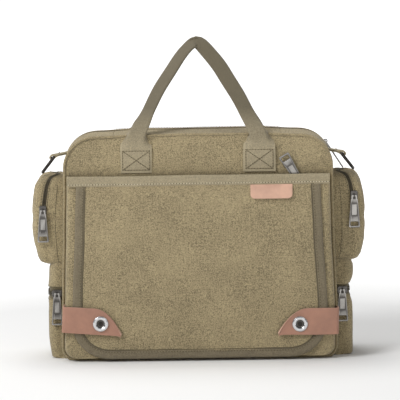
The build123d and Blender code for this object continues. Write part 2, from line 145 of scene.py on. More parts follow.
def resample(path, step):
    """The same path with evenly spaced points."""
    path = np.asarray(path, float)
    along = lengths_along(path)
    count = max(2, int(round(along[-1] / step)) + 1)
    at = np.linspace(0, along[-1], count)
    return np.stack([np.interp(at, along, path[:, k]) for k in range(path.shape[1])], axis=1)


def carried(values, path, finer):
    """Values known at a path's points, read off at the points of its resampled copy."""
    spots, along = lengths_along(finer), lengths_along(path)
    return np.stack([np.interp(spots, along, values[:, k]) for k in range(3)], axis=1)


def curve_through(points, step):
    """A smooth path through given points (Catmull-Rom)."""
    p = np.asarray(points, float)
    p = np.vstack([2 * p[0] - p[1], p, 2 * p[-1] - p[-2]])
    t = np.linspace(0, 1, 24, endpoint=False)[:, None]
    spans = []
    for a, b, c, d in zip(p[:-3], p[1:-2], p[2:-1], p[3:]):
        spans.append(0.5 * (2 * b + (c - a) * t + (2 * a - 5 * b + 4 * c - d) * t**2
                            + (3 * b - a - 3 * c + d) * t**3))
    return resample(np.vstack([*spans, p[-2:-1]]), step)


def trapezium_width(low, high, half_low, half_high, r_low, r_high):
    """The half width at a height of a trapezium with round corners, as a function."""
    def width(z):
        z = np.asarray(z, float)
        straight = half_low + (half_high - half_low) * (z - low) / (high - low)
        for edge, radius, sign in ((low, r_low, 1), (high, r_high, -1)):
            if radius:
                into = np.clip(1 - sign * (z - edge) / radius, 0, 1)
                straight = straight - radius * (1 - np.sqrt(1 - into**2))
        return straight
    return width


def rows_between(low, high, r_low, r_high, step):
    """Heights that step evenly round the corners and up the straight sides."""
    turn_low = [low + r_low * (1 - math.cos(a)) for a in np.linspace(0, QUARTER, 9)[:-1]] if r_low else []
    turn_high = [high - r_high * (1 - math.cos(a)) for a in np.linspace(QUARTER, 0, 13)[1:]] if r_high else []
    straight = np.linspace(low + r_low, high - r_high, int((high - low - r_low - r_high) / step) + 2)
    return np.concatenate([turn_low, straight, turn_high])


def edge_path(width, rows):
    """Right-hand edge of an outline from bottom to top, as X and Z."""
    return together(width(rows), rows)


def round_trip(width, rows, step):
    """The whole outline from the middle of the base, up the right side, over the top and down the left."""
    half = np.vstack([[(0, rows[0])], edge_path(width, rows), [(0, rows[-1])]])
    left = half[::-1] * np.array([-1, 1])
    return resample(np.vstack([half, left[1:]]), step)


def outward(path):
    """Unit normals of a counter-clockwise path in X and Z."""
    run = unit(np.gradient(path, axis=0))
    return together(run[:, 1], -run[:, 0])


# ---- meshes ----
def new_mesh(name, points, faces, uv=None):
    """A smooth object from points in millimetres. uv holds one pair a point, in millimetres."""
    mesh = bpy.data.meshes.new(name)
    mesh.from_pydata((np.asarray(points, float) * MM).tolist(), [], [list(map(int, f)) for f in faces])
    mesh.validate()
    mesh.polygons.foreach_set("use_smooth", [True] * len(mesh.polygons))
    if uv is not None:
        layer = mesh.uv_layers.new(name=CLOTH_UV)
        corner = np.zeros(len(mesh.loops), np.int32)
        mesh.loops.foreach_get("vertex_index", corner)
        layer.data.foreach_set("uv", (np.asarray(uv, float) * MM)[corner].astype(np.float32).ravel())
    mesh.update()
    piece = bpy.data.objects.new(name, mesh)
    bpy.context.scene.collection.objects.link(piece)
    return piece


def sharp_border(piece):
    """Marks a sheet's cut edges sharp, so that its thickness shows as a crisp rim."""
    mesh = piece.data
    uses = {}
    for face in mesh.polygons:
        for key in face.edge_keys:
            uses[key] = uses.get(key, 0) + 1
    mark = mesh.attributes.new("sharp_edge", "BOOLEAN", "EDGE")
    mark.data.foreach_set("value", [uses.get(tuple(sorted(e.vertices)), 0) == 1 for e in mesh.edges])


def round_edges(piece, width, angle):
    """Rounds edges sharper than an angle in degrees."""
    edge = piece.modifiers.new("edge", "BEVEL")
    edge.width = width * MM
    edge.segments = 2
    edge.limit_method = "ANGLE"
    edge.angle_limit = math.radians(angle)
    return edge


def grid_faces(rows, columns, tube=False, ring=False):
    """Faces of a grid of points. A tube joins its last column to the first, and a ring its last row."""
    index = np.arange(rows * columns).reshape(rows, columns)
    if ring:
        index = np.vstack([index, index[:1]])
    if tube:
        index = np.hstack([index, index[:, :1]])
    return np.stack([index[:-1, :-1], index[:-1, 1:], index[1:, 1:], index[1:, :-1]], axis=-1).reshape(-1, 4)


def grid_uv(grid):
    """Distances along a grid's columns and rows."""
    steps = np.linalg.norm(np.diff(grid, axis=1), axis=2)
    u = np.concatenate([np.zeros((len(grid), 1)), np.cumsum(steps, axis=1)], 1)
    u = u - u[:, -1:] / 2
    middle = grid[:, grid.shape[1] // 2]
    return together(u, lengths_along(middle)[:, None]).reshape(-1, 2)


def face_normals(grid):
    """Unit normals of a grid of points."""
    return unit(np.cross(np.gradient(grid, axis=1), np.gradient(grid, axis=0)))


BAG_CENTRE = np.array([0.0, 8.0, 130.0])


def cloth(name, grid, thickness, towards=None, inside=False, soft=True, relaxed=True):
    """A sheet of fabric from a grid of points, its thickness behind its face.

    The face looks away from the middle of the bag, or along towards, or into the bag if inside."""
    grid = relax(grid) if relaxed else np.array(grid, float)
    wanted = grid - BAG_CENTRE if towards is None else np.broadcast_to(towards, grid.shape)
    agrees = np.sum(face_normals(grid) * wanted) > 0
    faces = grid_faces(*grid.shape[:2])
    if agrees == inside:
        faces = faces[:, ::-1]
    piece = new_mesh(name, grid.reshape(-1, 3), faces, grid_uv(grid))
    sharp_border(piece)
    body = piece.modifiers.new("thickness", "SOLIDIFY")
    body.thickness = thickness * MM
    body.offset = -1
    body.use_even_offset = False
    if soft:
        round_edges(piece, 0.35 * thickness, 60)
    return piece


def frames_along(path, up):
    """Run, side and up directions at each point of a path; up is one direction or one for each point."""
    run = unit(np.gradient(path, axis=0))
    side = unit(np.cross(np.broadcast_to(np.asarray(up, float), path.shape), run))
    return run, side, np.cross(run, side)


def swept(path, up, section):
    """Grid of a section carried along a path: side and up offsets, the same or others for each point."""
    run, side, rise = frames_along(path, up)
    section = np.broadcast_to(section, (len(path),) + np.shape(section)[-2:])
    return path[:, None] + section[..., :1] * side[:, None] + section[..., 1:] * rise[:, None]


CORD_UV_STEP = 1.2           # cloth round a cord, from one point of its section to the next


def cord(name, path, up, section, relaxed=True, ring=False):
    """A bar with a closed section, capped at both ends, or joined to itself as a ring."""
    grid = swept(path, up, section)
    grid = relax(grid) if relaxed else grid
    rows, columns = grid.shape[:2]
    faces = [list(f) for f in grid_faces(rows, columns, tube=True, ring=ring)]
    if not ring:
        faces.append(list(range(columns))[::-1])
        faces.append([(rows - 1) * columns + c for c in range(columns)])
    around = np.tile(np.arange(columns) * CORD_UV_STEP, rows)
    along = np.repeat(lengths_along(path), columns)
    return new_mesh(name, grid.reshape(-1, 3), faces, together(around, along))


def circle(radius, sides=10, squash=1.0):
    a = np.linspace(0, 2 * math.pi, sides, endpoint=False)
    return together(radius * np.cos(a), radius * squash * np.sin(a))


def beads(name, centres, run, up, half_sizes, relaxed=True):
    """Many small rounded bars in one mesh: stitches or zipper teeth."""
    side = unit(np.cross(up, run))
    ring = circle(1.0, 6)
    shape = [(-1.0, 0, 0), *((x, y, z) for x in (-0.55, 0.55) for y, z in ring), (1.0, 0, 0)]
    shape = np.array(shape) * half_sizes
    points = (centres[:, None] + shape[None, :, :1] * run[:, None]
              + shape[None, :, 1:2] * side[:, None] + shape[None, :, 2:] * up[:, None])
    points = relax(points) if relaxed else points
    around = [(k, (k + 1) % 6) for k in range(6)]
    one = [(0, 1 + b, 1 + a) for a, b in around]
    one += [(1 + a, 1 + b, 7 + b, 7 + a) for a, b in around]
    one += [(13, 7 + a, 7 + b) for a, b in around]
    faces = [tuple(i + 14 * n for i in f) for n in range(len(centres)) for f in one]
    return new_mesh(name, points.reshape(-1, 3), faces)


def dress(pieces, materials, body=None, replaces=()):
    """Gives pieces their materials and body, and hides the CAD nodes that one piece stands for."""
    for one in pieces if isinstance(pieces, list) else [pieces]:
        one.data.materials.clear()
        for name in materials if isinstance(materials, tuple) else (materials,):
            one.data.materials.append(MATERIAL[name])
        if body:
            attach(one, body)
    if replaces:
        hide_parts(*replaces)
    return pieces


def sew(name, grid, thickness, material, body, slot, replaces=(), **how):
    """A dressed sheet of cloth; how goes on to cloth()."""
    return dress(cloth(name, grid, thickness, **how), material, body, replaces)


def cut_leather(name, grid, thickness, kind, body, replaces):
    """A piece of leather with raw edges."""
    piece = sew(name, grid, thickness, (kind, "leather_edge"), body, kind, replaces)
    piece.modifiers["thickness"].material_offset_rim = 1
    return piece


STITCH, STITCH_GAP = 2.3, 1.1
THREAD_R, NEEDLE_HOLE_R = 0.42, 0.6
HOLE_SINK = 0.12


def stitches(name, path, up, body, thread="thread", lift=0.1, relaxed=True):
    """Thread lying along a path, with a needle hole between one stitch and the next: a small dark bead sunk
    under the thread, its darkness painted shade.
    """
    path = resample(path, STITCH + STITCH_GAP)
    run, _, rise = frames_along(path, up)
    step = np.diff(path, axis=0)
    middle, above = path[:-1] + 0.5 * step + lift * rise[:-1], rise[:-1]
    line = beads(name, middle, unit(step), above, (STITCH / 2, THREAD_R, 0.34), relaxed)
    under = path + (lift - HOLE_SINK) * rise
    hole_shade = beads(name + "_holes", under, run, rise, (0.62, NEEDLE_HOLE_R, 0.26), relaxed)
    return [dress(line, thread, body), dress(hole_shade, "needle_hole", body)]


# ---- materials ----
def shade(name):
    """A new node material: its tree and its Principled shader."""
    material = bpy.data.materials.new(name)
    material.use_nodes = True
    return material, material.node_tree, material.node_tree.nodes["Principled BSDF"]


def feed(tree, socket, value):
    """Links a socket's source, or sets a constant."""
    if isinstance(value, bpy.types.NodeSocket):
        tree.links.new(value, socket)
    elif hasattr(socket.default_value, "__len__") and not hasattr(value, "__len__"):
        socket.default_value = [value] * len(socket.default_value)
    else:
        socket.default_value = value


def new_node(tree, kind, inputs, **settings):
    """A node of a kind with its settings made and its inputs fed, by number or name."""
    node = tree.nodes.new("ShaderNode" + kind)
    for key, value in settings.items():
        setattr(node, key, value)
    for key, value in inputs.items():
        feed(tree, node.inputs[key], value)
    return node


def calc(tree, operation, a, b=0.0, clamp=False):
    return new_node(tree, "Math", {0: a, 1: b}, operation=operation, use_clamp=clamp).outputs[0]


def fit(tree, value, low, high, to_low=0.0, to_high=1.0):
    return new_node(tree, "MapRange", dict(enumerate((value, low, high, to_low, to_high)))).outputs[0]


def blend_colour(tree, share, a, b):
    return new_node(tree, "Mix", {0: share, 6: a, 7: b}, data_type="RGBA").outputs[2]


def clouds(tree, where, scale, detail=3.0, rough=0.55, stretch=(1, 1, 1)):
    """Noise at that many features a metre, stretched along the axes."""
    place = new_node(tree, "Mapping", {"Vector": where, "Scale": stretch}).outputs[0]
    look = {"Scale": scale, "Detail": detail, "Roughness": rough, "Vector": place}
    return new_node(tree, "TexNoise", look).outputs[0]


def along_cloth(tree):
    return new_node(tree, "UVMap", {}, uv_map=CLOTH_UV).outputs[0]


def in_space(tree):
    return tree.nodes.new("ShaderNodeTexCoord").outputs["Object"]


def one_axis(tree, where, axis):
    return new_node(tree, "SeparateXYZ", {0: where}).outputs[axis]


def threads(tree, where, axis, pitch):
    """Ripples across one axis of the cloth, one a thread."""
    return calc(tree, "SINE", calc(tree, "MULTIPLY", one_axis(tree, where, axis), 2 * math.pi / pitch))


def worn_ridges(tree, sharpest, most):
    """How worn the raised edges are."""
    ridges = tree.nodes.new("ShaderNodeNewGeometry").outputs["Pointiness"]
    return fit(tree, ridges, 0.52, sharpest, 0, most)


def finish(tree, shader, paint, rough, height, depth, strength):
    """Connects a material's colour, its roughness and its relief of that many metres."""
    tree.links.new(paint, shader.inputs["Base Color"])
    tree.links.new(rough, shader.inputs["Roughness"])
    relief = new_node(tree, "Bump", {"Strength": strength, "Distance": depth, "Height": height})
    tree.links.new(relief.outputs[0], shader.inputs["Normal"])


def linear(r, g, b):
    """A colour given as 8-bit display values, for a shader."""
    return tuple((c / 255 / 12.92 if c / 255 <= 0.04045 else ((c / 255 + 0.055) / 1.055) ** 2.4)
                 for c in (r, g, b)) + (1.0,)


def scaled(colour, factor):
    return tuple(c * factor for c in colour[:3]) + (1.0,)


def crease_lines(tree, place, strength):
    """Pale lines where washed cloth has been folded: the borders of warped cells, in patches."""
    swirl = new_node(tree, "TexNoise", {"Scale": 30, "Vector": place}).outputs[1]
    warped = new_node(tree, "Mix", {0: 0.035, 4: place, 5: swirl}, data_type="VECTOR").outputs[1]
    cells = new_node(tree, "TexVoronoi", {"Scale": 22, "Vector": warped}, feature="DISTANCE_TO_EDGE")
    line = fit(tree, cells.outputs["Distance"], 0.0, 0.03, 1, 0)
    patchy = fit(tree, clouds(tree, place, 26, 4, 0.7), 0.5, 0.64)
    return calc(tree, "MULTIPLY", calc(tree, "MULTIPLY", line, patchy), strength, clamp=True)


GRAIN, COARSE_GRAIN = 1100, 520      # specks a metre in the cloth's colour


def woven(name, colour, thread=0.0011, contrast=0.5, creases=0.0, rib=None, shaded_heights=None):
    """Washed cotton: plain weave or ribbed tape, speckled, blotched and paler where it has creased.

    rib is the ribs' axis and pitch. The last argument is the heights over which the cloth is darkened upwards
    with painted shade, standing in for the shade of the folded handle loops, and how far."""
    material, tree, shader = shade(name)
    uv, place = along_cloth(tree), in_space(tree)
    fine, coarse = clouds(tree, place, GRAIN, 2, 0.5), clouds(tree, place, COARSE_GRAIN, 2, 0.5)
    speckle = calc(tree, "ADD", calc(tree, "MULTIPLY", fine, 0.7), calc(tree, "MULTIPLY", coarse, 0.3))
    slub_across, slub_along = (clouds(tree, uv, 60, 3, 0.6, stretch) for stretch in ((1, 14, 1), (14, 1, 1)))
    slub = calc(tree, "ADD", slub_across, slub_along)
    blotch = clouds(tree, place, 17, 4, 0.6)
    tone = fit(tree, speckle, 0.37, 0.63, -0.15, 0.85)
    tone = calc(tree, "ADD", tone, fit(tree, slub, 0.75, 1.25, -0.05, 0.25))
    tone = calc(tree, "ADD", tone, fit(tree, blotch, 0.35, 0.65, -0.02, 0.22), clamp=True)
    paint = blend_colour(tree, tone, scaled(colour, 1 - contrast), scaled(colour, 1 + contrast))
    height = calc(tree, "MULTIPLY", speckle, 0.6)
    if creases:
        line = crease_lines(tree, place, creases)
        paint = blend_colour(tree, line, paint, scaled(colour, 1.55))
        height = calc(tree, "ADD", height, calc(tree, "MULTIPLY", line, -0.5))
    paint = blend_colour(tree, worn_ridges(tree, 0.62, 0.5), paint, scaled(colour, 1.35))
    if shaded_heights:
        low, high, most = shaded_heights
        # painted shade: darker towards the top, where the folded handle loops fall into shade
        painted_shade = fit(tree, one_axis(tree, place, 2), low, high, 0, most)
        paint = blend_colour(tree, painted_shade, paint, scaled(colour, 0.3))
    if rib:
        weave = calc(tree, "ABSOLUTE", threads(tree, uv, *rib))
    else:
        weave = calc(tree, "MULTIPLY", threads(tree, uv, 0, thread), threads(tree, uv, 1, thread))
    height = calc(tree, "ADD", height, calc(tree, "MULTIPLY", weave, 0.35))
    finish(tree, shader, paint, fit(tree, speckle, 0.3, 0.7, 0.82, 0.97), height, 0.0005, 0.8)
    shader.inputs["Sheen Weight"].default_value = 0.18
    shader.inputs["Sheen Roughness"].default_value = 0.5
    shader.inputs["Specular IOR Level"].default_value = 0.25
    return material


def hide(name, colour, rough=0.5):
    """Smooth leather: fine grain, faint mottling and scuffs, darker pores."""
    material, tree, shader = shade(name)
    place = in_space(tree)
    pores = new_node(tree, "TexVoronoi", {"Scale": 1300, "Vector": place}).outputs["Distance"]
    mottle = clouds(tree, place, 55, 5, 0.62)
    scuff = clouds(tree, place, 30, 6, 0.7, (1, 1, 7))
    paint = blend_colour(tree, fit(tree, mottle, 0.32, 0.68), scaled(colour, 0.86), scaled(colour, 1.1))
    paint = blend_colour(tree, fit(tree, scuff, 0.6, 0.75, 0, 0.35), paint, scaled(colour, 1.35))
    height = calc(tree, "ADD", calc(tree, "MULTIPLY", pores, 0.5), calc(tree, "MULTIPLY", mottle, 0.5))
    finish(tree, shader, paint, fit(tree, mottle, 0.3, 0.7, rough - 0.08, rough + 0.12), height, 0.0004, 0.5)
    return material


def metal(name, colour, rough, wear):
    """Plated metal: brushed grain, fingerprints, brighter worn edges."""
    material, tree, shader = shade(name)
    place = in_space(tree)
    scratches = clouds(tree, place, 260, 4, 0.6, (1, 1, 9))
    cloudy = clouds(tree, place, 70, 3, 0.6)
    paint = blend_colour(tree, fit(tree, cloudy, 0.3, 0.7), scaled(colour, 0.88), scaled(colour, 1.1))
    paint = blend_colour(tree, worn_ridges(tree, 0.6, 0.85), paint, wear)
    sheen = fit(tree, scratches, 0.3, 0.7, rough - 0.06, rough + 0.1)
    finish(tree, shader, paint, sheen, scratches, 0.0001, 0.35)
    shader.inputs["Metallic"].default_value = 1.0
    return material


def plain(name, colour, rough, speckled=0.12, scale=400):
    """Thread, board and other small plain stuff, with fine uneven colour."""
    material, tree, shader = shade(name)
    grain = clouds(tree, in_space(tree), scale, 4, 0.65)
    light, dark = scaled(colour, 1 + speckled), scaled(colour, 1 - speckled)
    paint = blend_colour(tree, fit(tree, grain, 0.3, 0.7), dark, light)
    finish(tree, shader, paint, fit(tree, grain, 0.3, 0.7, rough - 0.05, rough + 0.05), grain, 0.0002, 0.4)
    return material


CANVAS = linear(151, 137, 106)
MATERIAL = {
    "canvas": woven("canvas", CANVAS),
    "flap_canvas": woven("flap_canvas", scaled(CANVAS, 0.98), creases=0.2),
    "piping_canvas": woven("piping_canvas", scaled(CANVAS, 0.9)),
    # the webbing darkens towards the tops of the handle loops with painted shade
    "webbing": woven("webbing", linear(152, 141, 116), contrast=0.24, rib=(1, 0.0024),
                     shaded_heights=(0.255, 0.3, 0.85)),
    "band": woven("band", linear(150, 139, 114), contrast=0.22, rib=(1, 0.0019)),
    "tape": woven("tape", linear(118, 108, 88), contrast=0.24, rib=(1, 0.0019)),
    "zip_tape": woven("zip_tape", linear(98, 89, 68), contrast=0.18, rib=(0, 0.0012)),
    "lining": woven("lining", linear(112, 104, 86), thread=0.0007, contrast=0.08),
    "leather": hide("leather", linear(163, 120, 100)),
    "leather_edge": hide("leather_edge", linear(188, 152, 132), 0.8),
    "label_leather": hide("label_leather", linear(200, 160, 138), 0.42),
    "gunmetal": metal("gunmetal", linear(90, 87, 84), 0.3, linear(172, 169, 164)),
    "dark_metal": metal("dark_metal", linear(60, 57, 54), 0.32, linear(140, 136, 130)),
    "snap_metal": metal("snap_metal", linear(205, 205, 206), 0.2, linear(235, 235, 236)),
    "thread": plain("thread", linear(132, 121, 95), 0.75),
    "pale_thread": plain("pale_thread", linear(196, 186, 160), 0.75),
    # dark beads at the needle holes: their colour is painted shade inside the holes
    "needle_hole": plain("needle_hole", linear(100, 90, 69), 0.9),
    "teeth": plain("teeth", linear(78, 71, 54), 0.38, 0.2, 900),
    "board": plain("board", linear(38, 38, 40), 0.55, 0.15, 250),
}


# ---- main body ----
BODY_LOW, BODY_HIGH = limits("main_front_panel")
BACK_LOW, BACK_HIGH = limits("back_panel")
FRONT_Y, BACK_Y = BODY_LOW[1], BACK_HIGH[1]
SEAM_FRONT, SEAM_BACK = FRONT_Y + 0.5, BACK_Y - 0.5         # where the gussets meet the panels
TOP_Z = BODY_HIGH[2]
PIPING_OUT = limits("front_piping")[1][0] - BODY_HIGH[0]
PIPING_R = 1.75
TOP_R, BASE_R = 38.0, 16.0
HALF_BASE, HALF_TOP = 163.0, 157.0
body_width = trapezium_width(0, TOP_Z, HALF_BASE, HALF_TOP, BASE_R, TOP_R)
BODY_ROWS = rows_between(0, TOP_Z, BASE_R, TOP_R, 6.0)
BODY_PATH = round_trip(body_width, BODY_ROWS, 4.0)
FROM_TOP = np.roll(BODY_PATH[:-1], len(BODY_PATH) // 2, axis=0)     # the same outline, begun at the top
MOUTH = limits("top_panel_front")[1][0]
MID_Y = (limits("main_zip_front")[1][1] + limits("main_zip_back")[0][1]) / 2
ZIP_HALF = limits("main_zip_back")[1][1] - MID_Y
ZIP_END_Z = limits("main_zip_ends")[0][2]


def filled(width, rows, columns, y, crown, seed, gathers=0.7):
    """A panel's grid in X and Z: crowned towards its middle, gathered at its seams. Crown is towards -Y."""
    u = np.linspace(-1, 1, columns)
    u = np.sign(u) * (1 - (1 - np.abs(u)) ** 1.15)
    x, z = width(rows)[:, None] * u[None], rows[:, None]
    side_gap = width(rows)[:, None] - np.abs(x)
    end_gap = np.minimum(z - rows[0], rows[-1] - z)
    depth = crown * (1 - np.exp(-side_gap / 22)) * (1 - np.exp(-end_gap / 24))
    grid = together(x, y, z)
    grid[..., 1] -= depth + pucker(grid, np.minimum(side_gap, end_gap), 9.0, gathers, seed)
    return grid


def gusset_grid(path, y0, y1, columns, bulge, inset=0.0, seed=3, gathers=0.5):
    """A strip round the outline from y0 to y1, bulging between its seams."""
    normals = outward(path)
    y = y0 + (y1 - y0) * np.linspace(0, 1, columns)
    span = np.clip((y - FRONT_Y) / (BACK_Y - FRONT_Y), 0, 1)
    out = np.sin(math.pi * span)[None] ** 0.8 * np.asarray(bulge)[:, None] - inset
    grid = np.zeros((len(path), columns, 3))
    grid[..., 1] = y[None]
    grid[..., [0, 2]] = path[:, None] + normals[:, None] * out[..., None]
    gap = np.minimum(grid[..., 1] - FRONT_Y, BACK_Y - grid[..., 1])
    grid[..., [0, 2]] += normals[:, None] * pucker(grid, gap, 8.0, gathers, seed)[..., None]
    grid[..., 2] = np.maximum(grid[..., 2], 0.15)
    return grid


def gusset_bulge(path):
    """How far the strip stands out: nothing under the bag, most beside the top zipper."""
    z = path[:, 1]
    return 3.2 * ease((z - 4) / 50) + 2.3 * ease((z - (TOP_Z - 40)) / 40)


def stretch(path, keep):
    """The longest run of a path where keep is true."""
    marks = np.flatnonzero(keep)
    breaks = np.flatnonzero(np.diff(marks) > 1)
    runs = np.split(marks, breaks + 1)
    return path[max(runs, key=len)]


def corner_run(sign, low):
    """The outline over one upper corner, from a height up to exactly where the mouth begins."""
    run = stretch(BODY_PATH, (BODY_PATH[:, 0] * sign > MOUTH + 1) & (BODY_PATH[:, 1] > low))
    mouth = np.array([[sign * MOUTH, TOP_Z]])
    return np.vstack([run, mouth]) if sign > 0 else np.vstack([mouth, run])


SLIDER_ROOM = 3.6           # hollow of the front panel behind the front pocket's slider


def panels():
    """Front and back panels, each a crowned sheet between the piping."""
    grid = filled(body_width, BODY_ROWS, 61, FRONT_Y, 3.2, seed=31)
    grid[..., 1] += SLIDER_ROOM * np.exp(-((grid[..., 2] - limits("front_zip")[1][2]) / 9) ** 2)
    sew("front_panel", grid, PANEL_T, "canvas", "bag", "canvas", ["main_front_panel"])
    grid = filled(body_width, BODY_ROWS, 61, 0, 4.5, seed=35)
    grid[..., 1] = BACK_Y - grid[..., 1]
    sew("rear_panel", grid, PANEL_T, "canvas", "bag", "canvas", ["back_panel"])


def gusset(name, path, y0, y1, columns, replaces=(), lowest=0.0):
    """A canvas strip along part of the outline."""
    grid = gusset_grid(path, y0, y1, columns, gusset_bulge(path))
    grid[..., 2] = np.maximum(grid[..., 2], lowest)
    sew(name, grid, GUSSET_T, "canvas", "bag", "canvas", replaces)


def side_strips():
    """Canvas gussets down both sides and under the bag, up to the ends of the top zipper."""
    for side, sign in SIDES.items():
        x, z = BODY_PATH[:, 0] * sign, BODY_PATH[:, 1]
        low = stretch(BODY_PATH, (x > HALF_BASE - BASE_R - 1) & (z < ZIP_END_Z + 1))
        gusset(f"{side}_gusset_cloth", low, SEAM_FRONT, SEAM_BACK, 29, [f"{side}_gusset"])
        high = corner_run(sign, ZIP_END_Z - 2)
        gusset(f"{side}_corner_front", high, SEAM_FRONT, MID_Y - ZIP_HALF, 11)
        gusset(f"{side}_corner_back", high, MID_Y + ZIP_HALF, SEAM_BACK, 11)
    base = stretch(FROM_TOP, (FROM_TOP[:, 1] < 0.5) & (np.abs(FROM_TOP[:, 0]) < HALF_BASE - BASE_R + 2))
    gusset("base_cloth", base, SEAM_FRONT, SEAM_BACK, 29, ["base_panel"], lowest=0.3)


def pipings():
    """Covered cords round both panels."""
    centre = (BODY_PATH + outward(BODY_PATH) * (PIPING_OUT - 1.5))[:-1]
    for name, node, y in (("front", "front_piping", FRONT_Y - 0.1), ("rear", "back_piping", BACK_Y + 0.1)):
        line = together(centre[:, 0], y, np.maximum(centre[:, 1], 1.9))
        piping = cord(f"{name}_piping_cord", line, (0, -1, 0), circle(PIPING_R, 9), ring=True)
        dress(piping, "piping_canvas", "bag", [node])


TEETH_PITCH, TOOTH = 1.5, (1.35, 0.5, 0.62)
TEETH_OUT = 0.9             # how far the teeth stand out of the tape


def zipper_teeth(name, centres, across, normal, body, relaxed=True):
    return dress(beads(name, centres, across, normal, TOOTH, relaxed), "teeth", body)


def zipper_half(name, path, normal, across, tape_width, body, replaces=(), relaxed=True):
    """One tape with its row of coil teeth. across points from the chain to the tape's outer edge."""
    wide = np.linspace(0.25, tape_width, 8)
    grid = path[:, None] + across[:, None] * wide[None, :, None]
    tape = sew(name + "_tape", grid, TAPE_T, "zip_tape", body, "zip_tape", replaces,
               towards=normal[:, None], soft=False, relaxed=relaxed)
    at = resample(path, TEETH_PITCH)
    normal_at, across_at = carried(normal, path, at), carried(across, path, at)
    centres = at + 1.25 * across_at + TEETH_OUT * normal_at
    return [tape, zipper_teeth(name + "_teeth", centres, across_at, normal_at, body, relaxed)]


def top_line(low, high, inset):
    """A run along the top of the bag, right to left, a little below the canvas."""
    x = np.linspace(low, high, max(4, int(abs(high - low) / 4)))
    bulge = gusset_bulge(np.array([[0, TOP_Z]]))[0]
    return together(x, MID_Y, TOP_Z + bulge - inset)


ZIP_SINK = 1.4              # the zipper lies lower between the soft edges of the mouth
MOUTH_END = 34.0            # the mouth's sewn ends
TAPE_UNDER = 1.5            # tape that lies under the canvas


def top_opening():
    """Zipped top: canvas halves that turn on the panel seams, with their zipper and their sewn ends."""
    open_half = MOUTH - MOUTH_END
    runs = {"right": (MOUTH, open_half), "middle": (open_half, -open_half), "left": (-open_half, -MOUTH)}
    for which, sign in (("front", -1), ("back", 1)):
        body = f"top_{which}"
        inner_y = MID_Y + sign * ZIP_HALF
        y0, y1 = (SEAM_FRONT, inner_y) if sign < 0 else (inner_y, SEAM_BACK)
        for place, (x0, x1) in runs.items():
            moves = place == "middle"
            rides_on = body if moves else None
            edge = top_line(x0, x1, 0.0)
            path = together(edge[:, 0], TOP_Z)
            grid = gusset_grid(path, y0, y1, 11, gusset_bulge(path), seed=8)
            panel = sew(f"{body}_{place}", grid, GUSSET_T, "canvas", rides_on, "canvas",
                        [f"top_panel_{which}"] if moves else [])
            line = top_line(x0, x1, 1.6)
            line[:, 2] -= ZIP_SINK * ease((MOUTH - 4 - np.abs(line[:, 0])) / 20)
            chain = zipper_half(f"top_zip_{which}_{place}", line, everywhere((0, 0, 1), line),
                                everywhere((0, sign, 0), line), ZIP_HALF + TAPE_UNDER, rides_on,
                                [f"main_zip_{which}"] if moves else [])
            seam = top_line(x0, x1, -0.1)
            seam[:, 1] = inner_y + sign * 2.2
            sewn = stitches(f"top_seam_{which}_{place}", seam, (0, 0, 1), rides_on)
            if not moves:
                for piece in [panel, *chain, *sewn]:
                    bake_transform(piece)


def zip_ends():
    """The closed ends of the main zipper, over the upper corners and a little down the sides."""
    for side, sign in SIDES.items():
        run = corner_run(sign, ZIP_END_Z - 8)
        line, normal = np.full((len(run), 3), MID_Y), np.zeros((len(run), 3))
        normal[:, [0, 2]] = outward(run)
        line[:, [0, 2]] = run + normal[:, [0, 2]] * (gusset_bulge(run)[:, None] - 1.6)
        for which, way in (("front", -1), ("back", 1)):
            stands_for = ["main_zip_ends"] if (side, which) == ("right", "front") else []
            zipper_half(f"{side}_zip_end_{which}", line, normal, everywhere((0, way, 0), line),
                        ZIP_HALF + TAPE_UNDER, "bag", stands_for)


panels()
side_strips()
pipings()
top_opening()
zip_ends()


# ---- front pocket ----
POCKET_LOW, POCKET_HIGH = limits("front_pocket_panel")
POCKET_R = 14.0
POCKET_TOP_HALF = 156.0
POCKET_BASE_HALF = POCKET_HIGH[0] + 0.4
pocket_width = trapezium_width(POCKET_LOW[2], POCKET_HIGH[2], POCKET_BASE_HALF, POCKET_TOP_HALF, POCKET_R, 0)
BAND_LOW, BAND_HIGH = limits("front_pocket_band")


def wrapped_front(sections, across, around):
    """Rows that run from the body, round one side, across the front and back along the other side.

    Each section is (half width, front Y, height, corner radius)."""
    grid = []
    for half, front, z, radius in sections:
        depth = FRONT_Y - front
        radius = min(radius, max(depth - 0.2, 0.1), half * 0.5)
        turn = np.linspace(0, QUARTER, around)
        side = together(half, np.linspace(FRONT_Y, front + radius, 5)[:-1])
        corner = together(half - radius + radius * np.cos(turn), front + radius - radius * np.sin(turn))
        face = together(np.linspace(half - radius, 0, across)[1:], front)
        right = np.vstack([side, corner, face])
        whole = np.vstack([right, right[-2::-1] * np.array([-1, 1])])
        grid.append(together(*whole.T, z))
    return np.array(grid)


def front_pocket():
    """Canvas pocket under the flap: a soft shell with a floor."""
    front, low, high = POCKET_LOW[1], POCKET_LOW[2], POCKET_HIGH[2]
    half, edge_r = float(pocket_width(low)), 3.5
    floor = [(half, FRONT_Y + (front - FRONT_Y) * t, low, 4.0) for t in np.linspace(0.08, 0.72, 4)]
    turn = [(half + 0.5, front + edge_r * (1 - math.sin(a)), low + edge_r * (1 - math.cos(a)) * 0.6, 4.0)
            for a in np.linspace(0, QUARTER, 4)[:-1]]
    rise = [(float(pocket_width(z)), front, z, 5.0) for z in rows_between(low, high, POCKET_R, 0, 6.0)[1:]]
    grid = wrapped_front(floor + turn + rise, 30, 5)
    z = grid[..., 2]
    side_gap = pocket_width(z) - np.abs(grid[..., 0])
    on_face = np.clip((FRONT_Y - grid[..., 1]) / (FRONT_Y - front), 0, 1)
    swell = 1.2 * np.exp(-((side_gap - 9) / 8) ** 2) * np.clip((z - low) / 14, 0, 1)
    swell = swell * np.clip((high - z) / 30, 0, 1)
    grid[..., 1] -= on_face * (swell + pucker(grid, side_gap, 14.0, 0.7, 71, 16.0))
    sew("front_pocket_shell", grid, POCKET_T, "canvas", "bag", "canvas",
        ["front_pocket_panel", "front_pocket_gusset"])


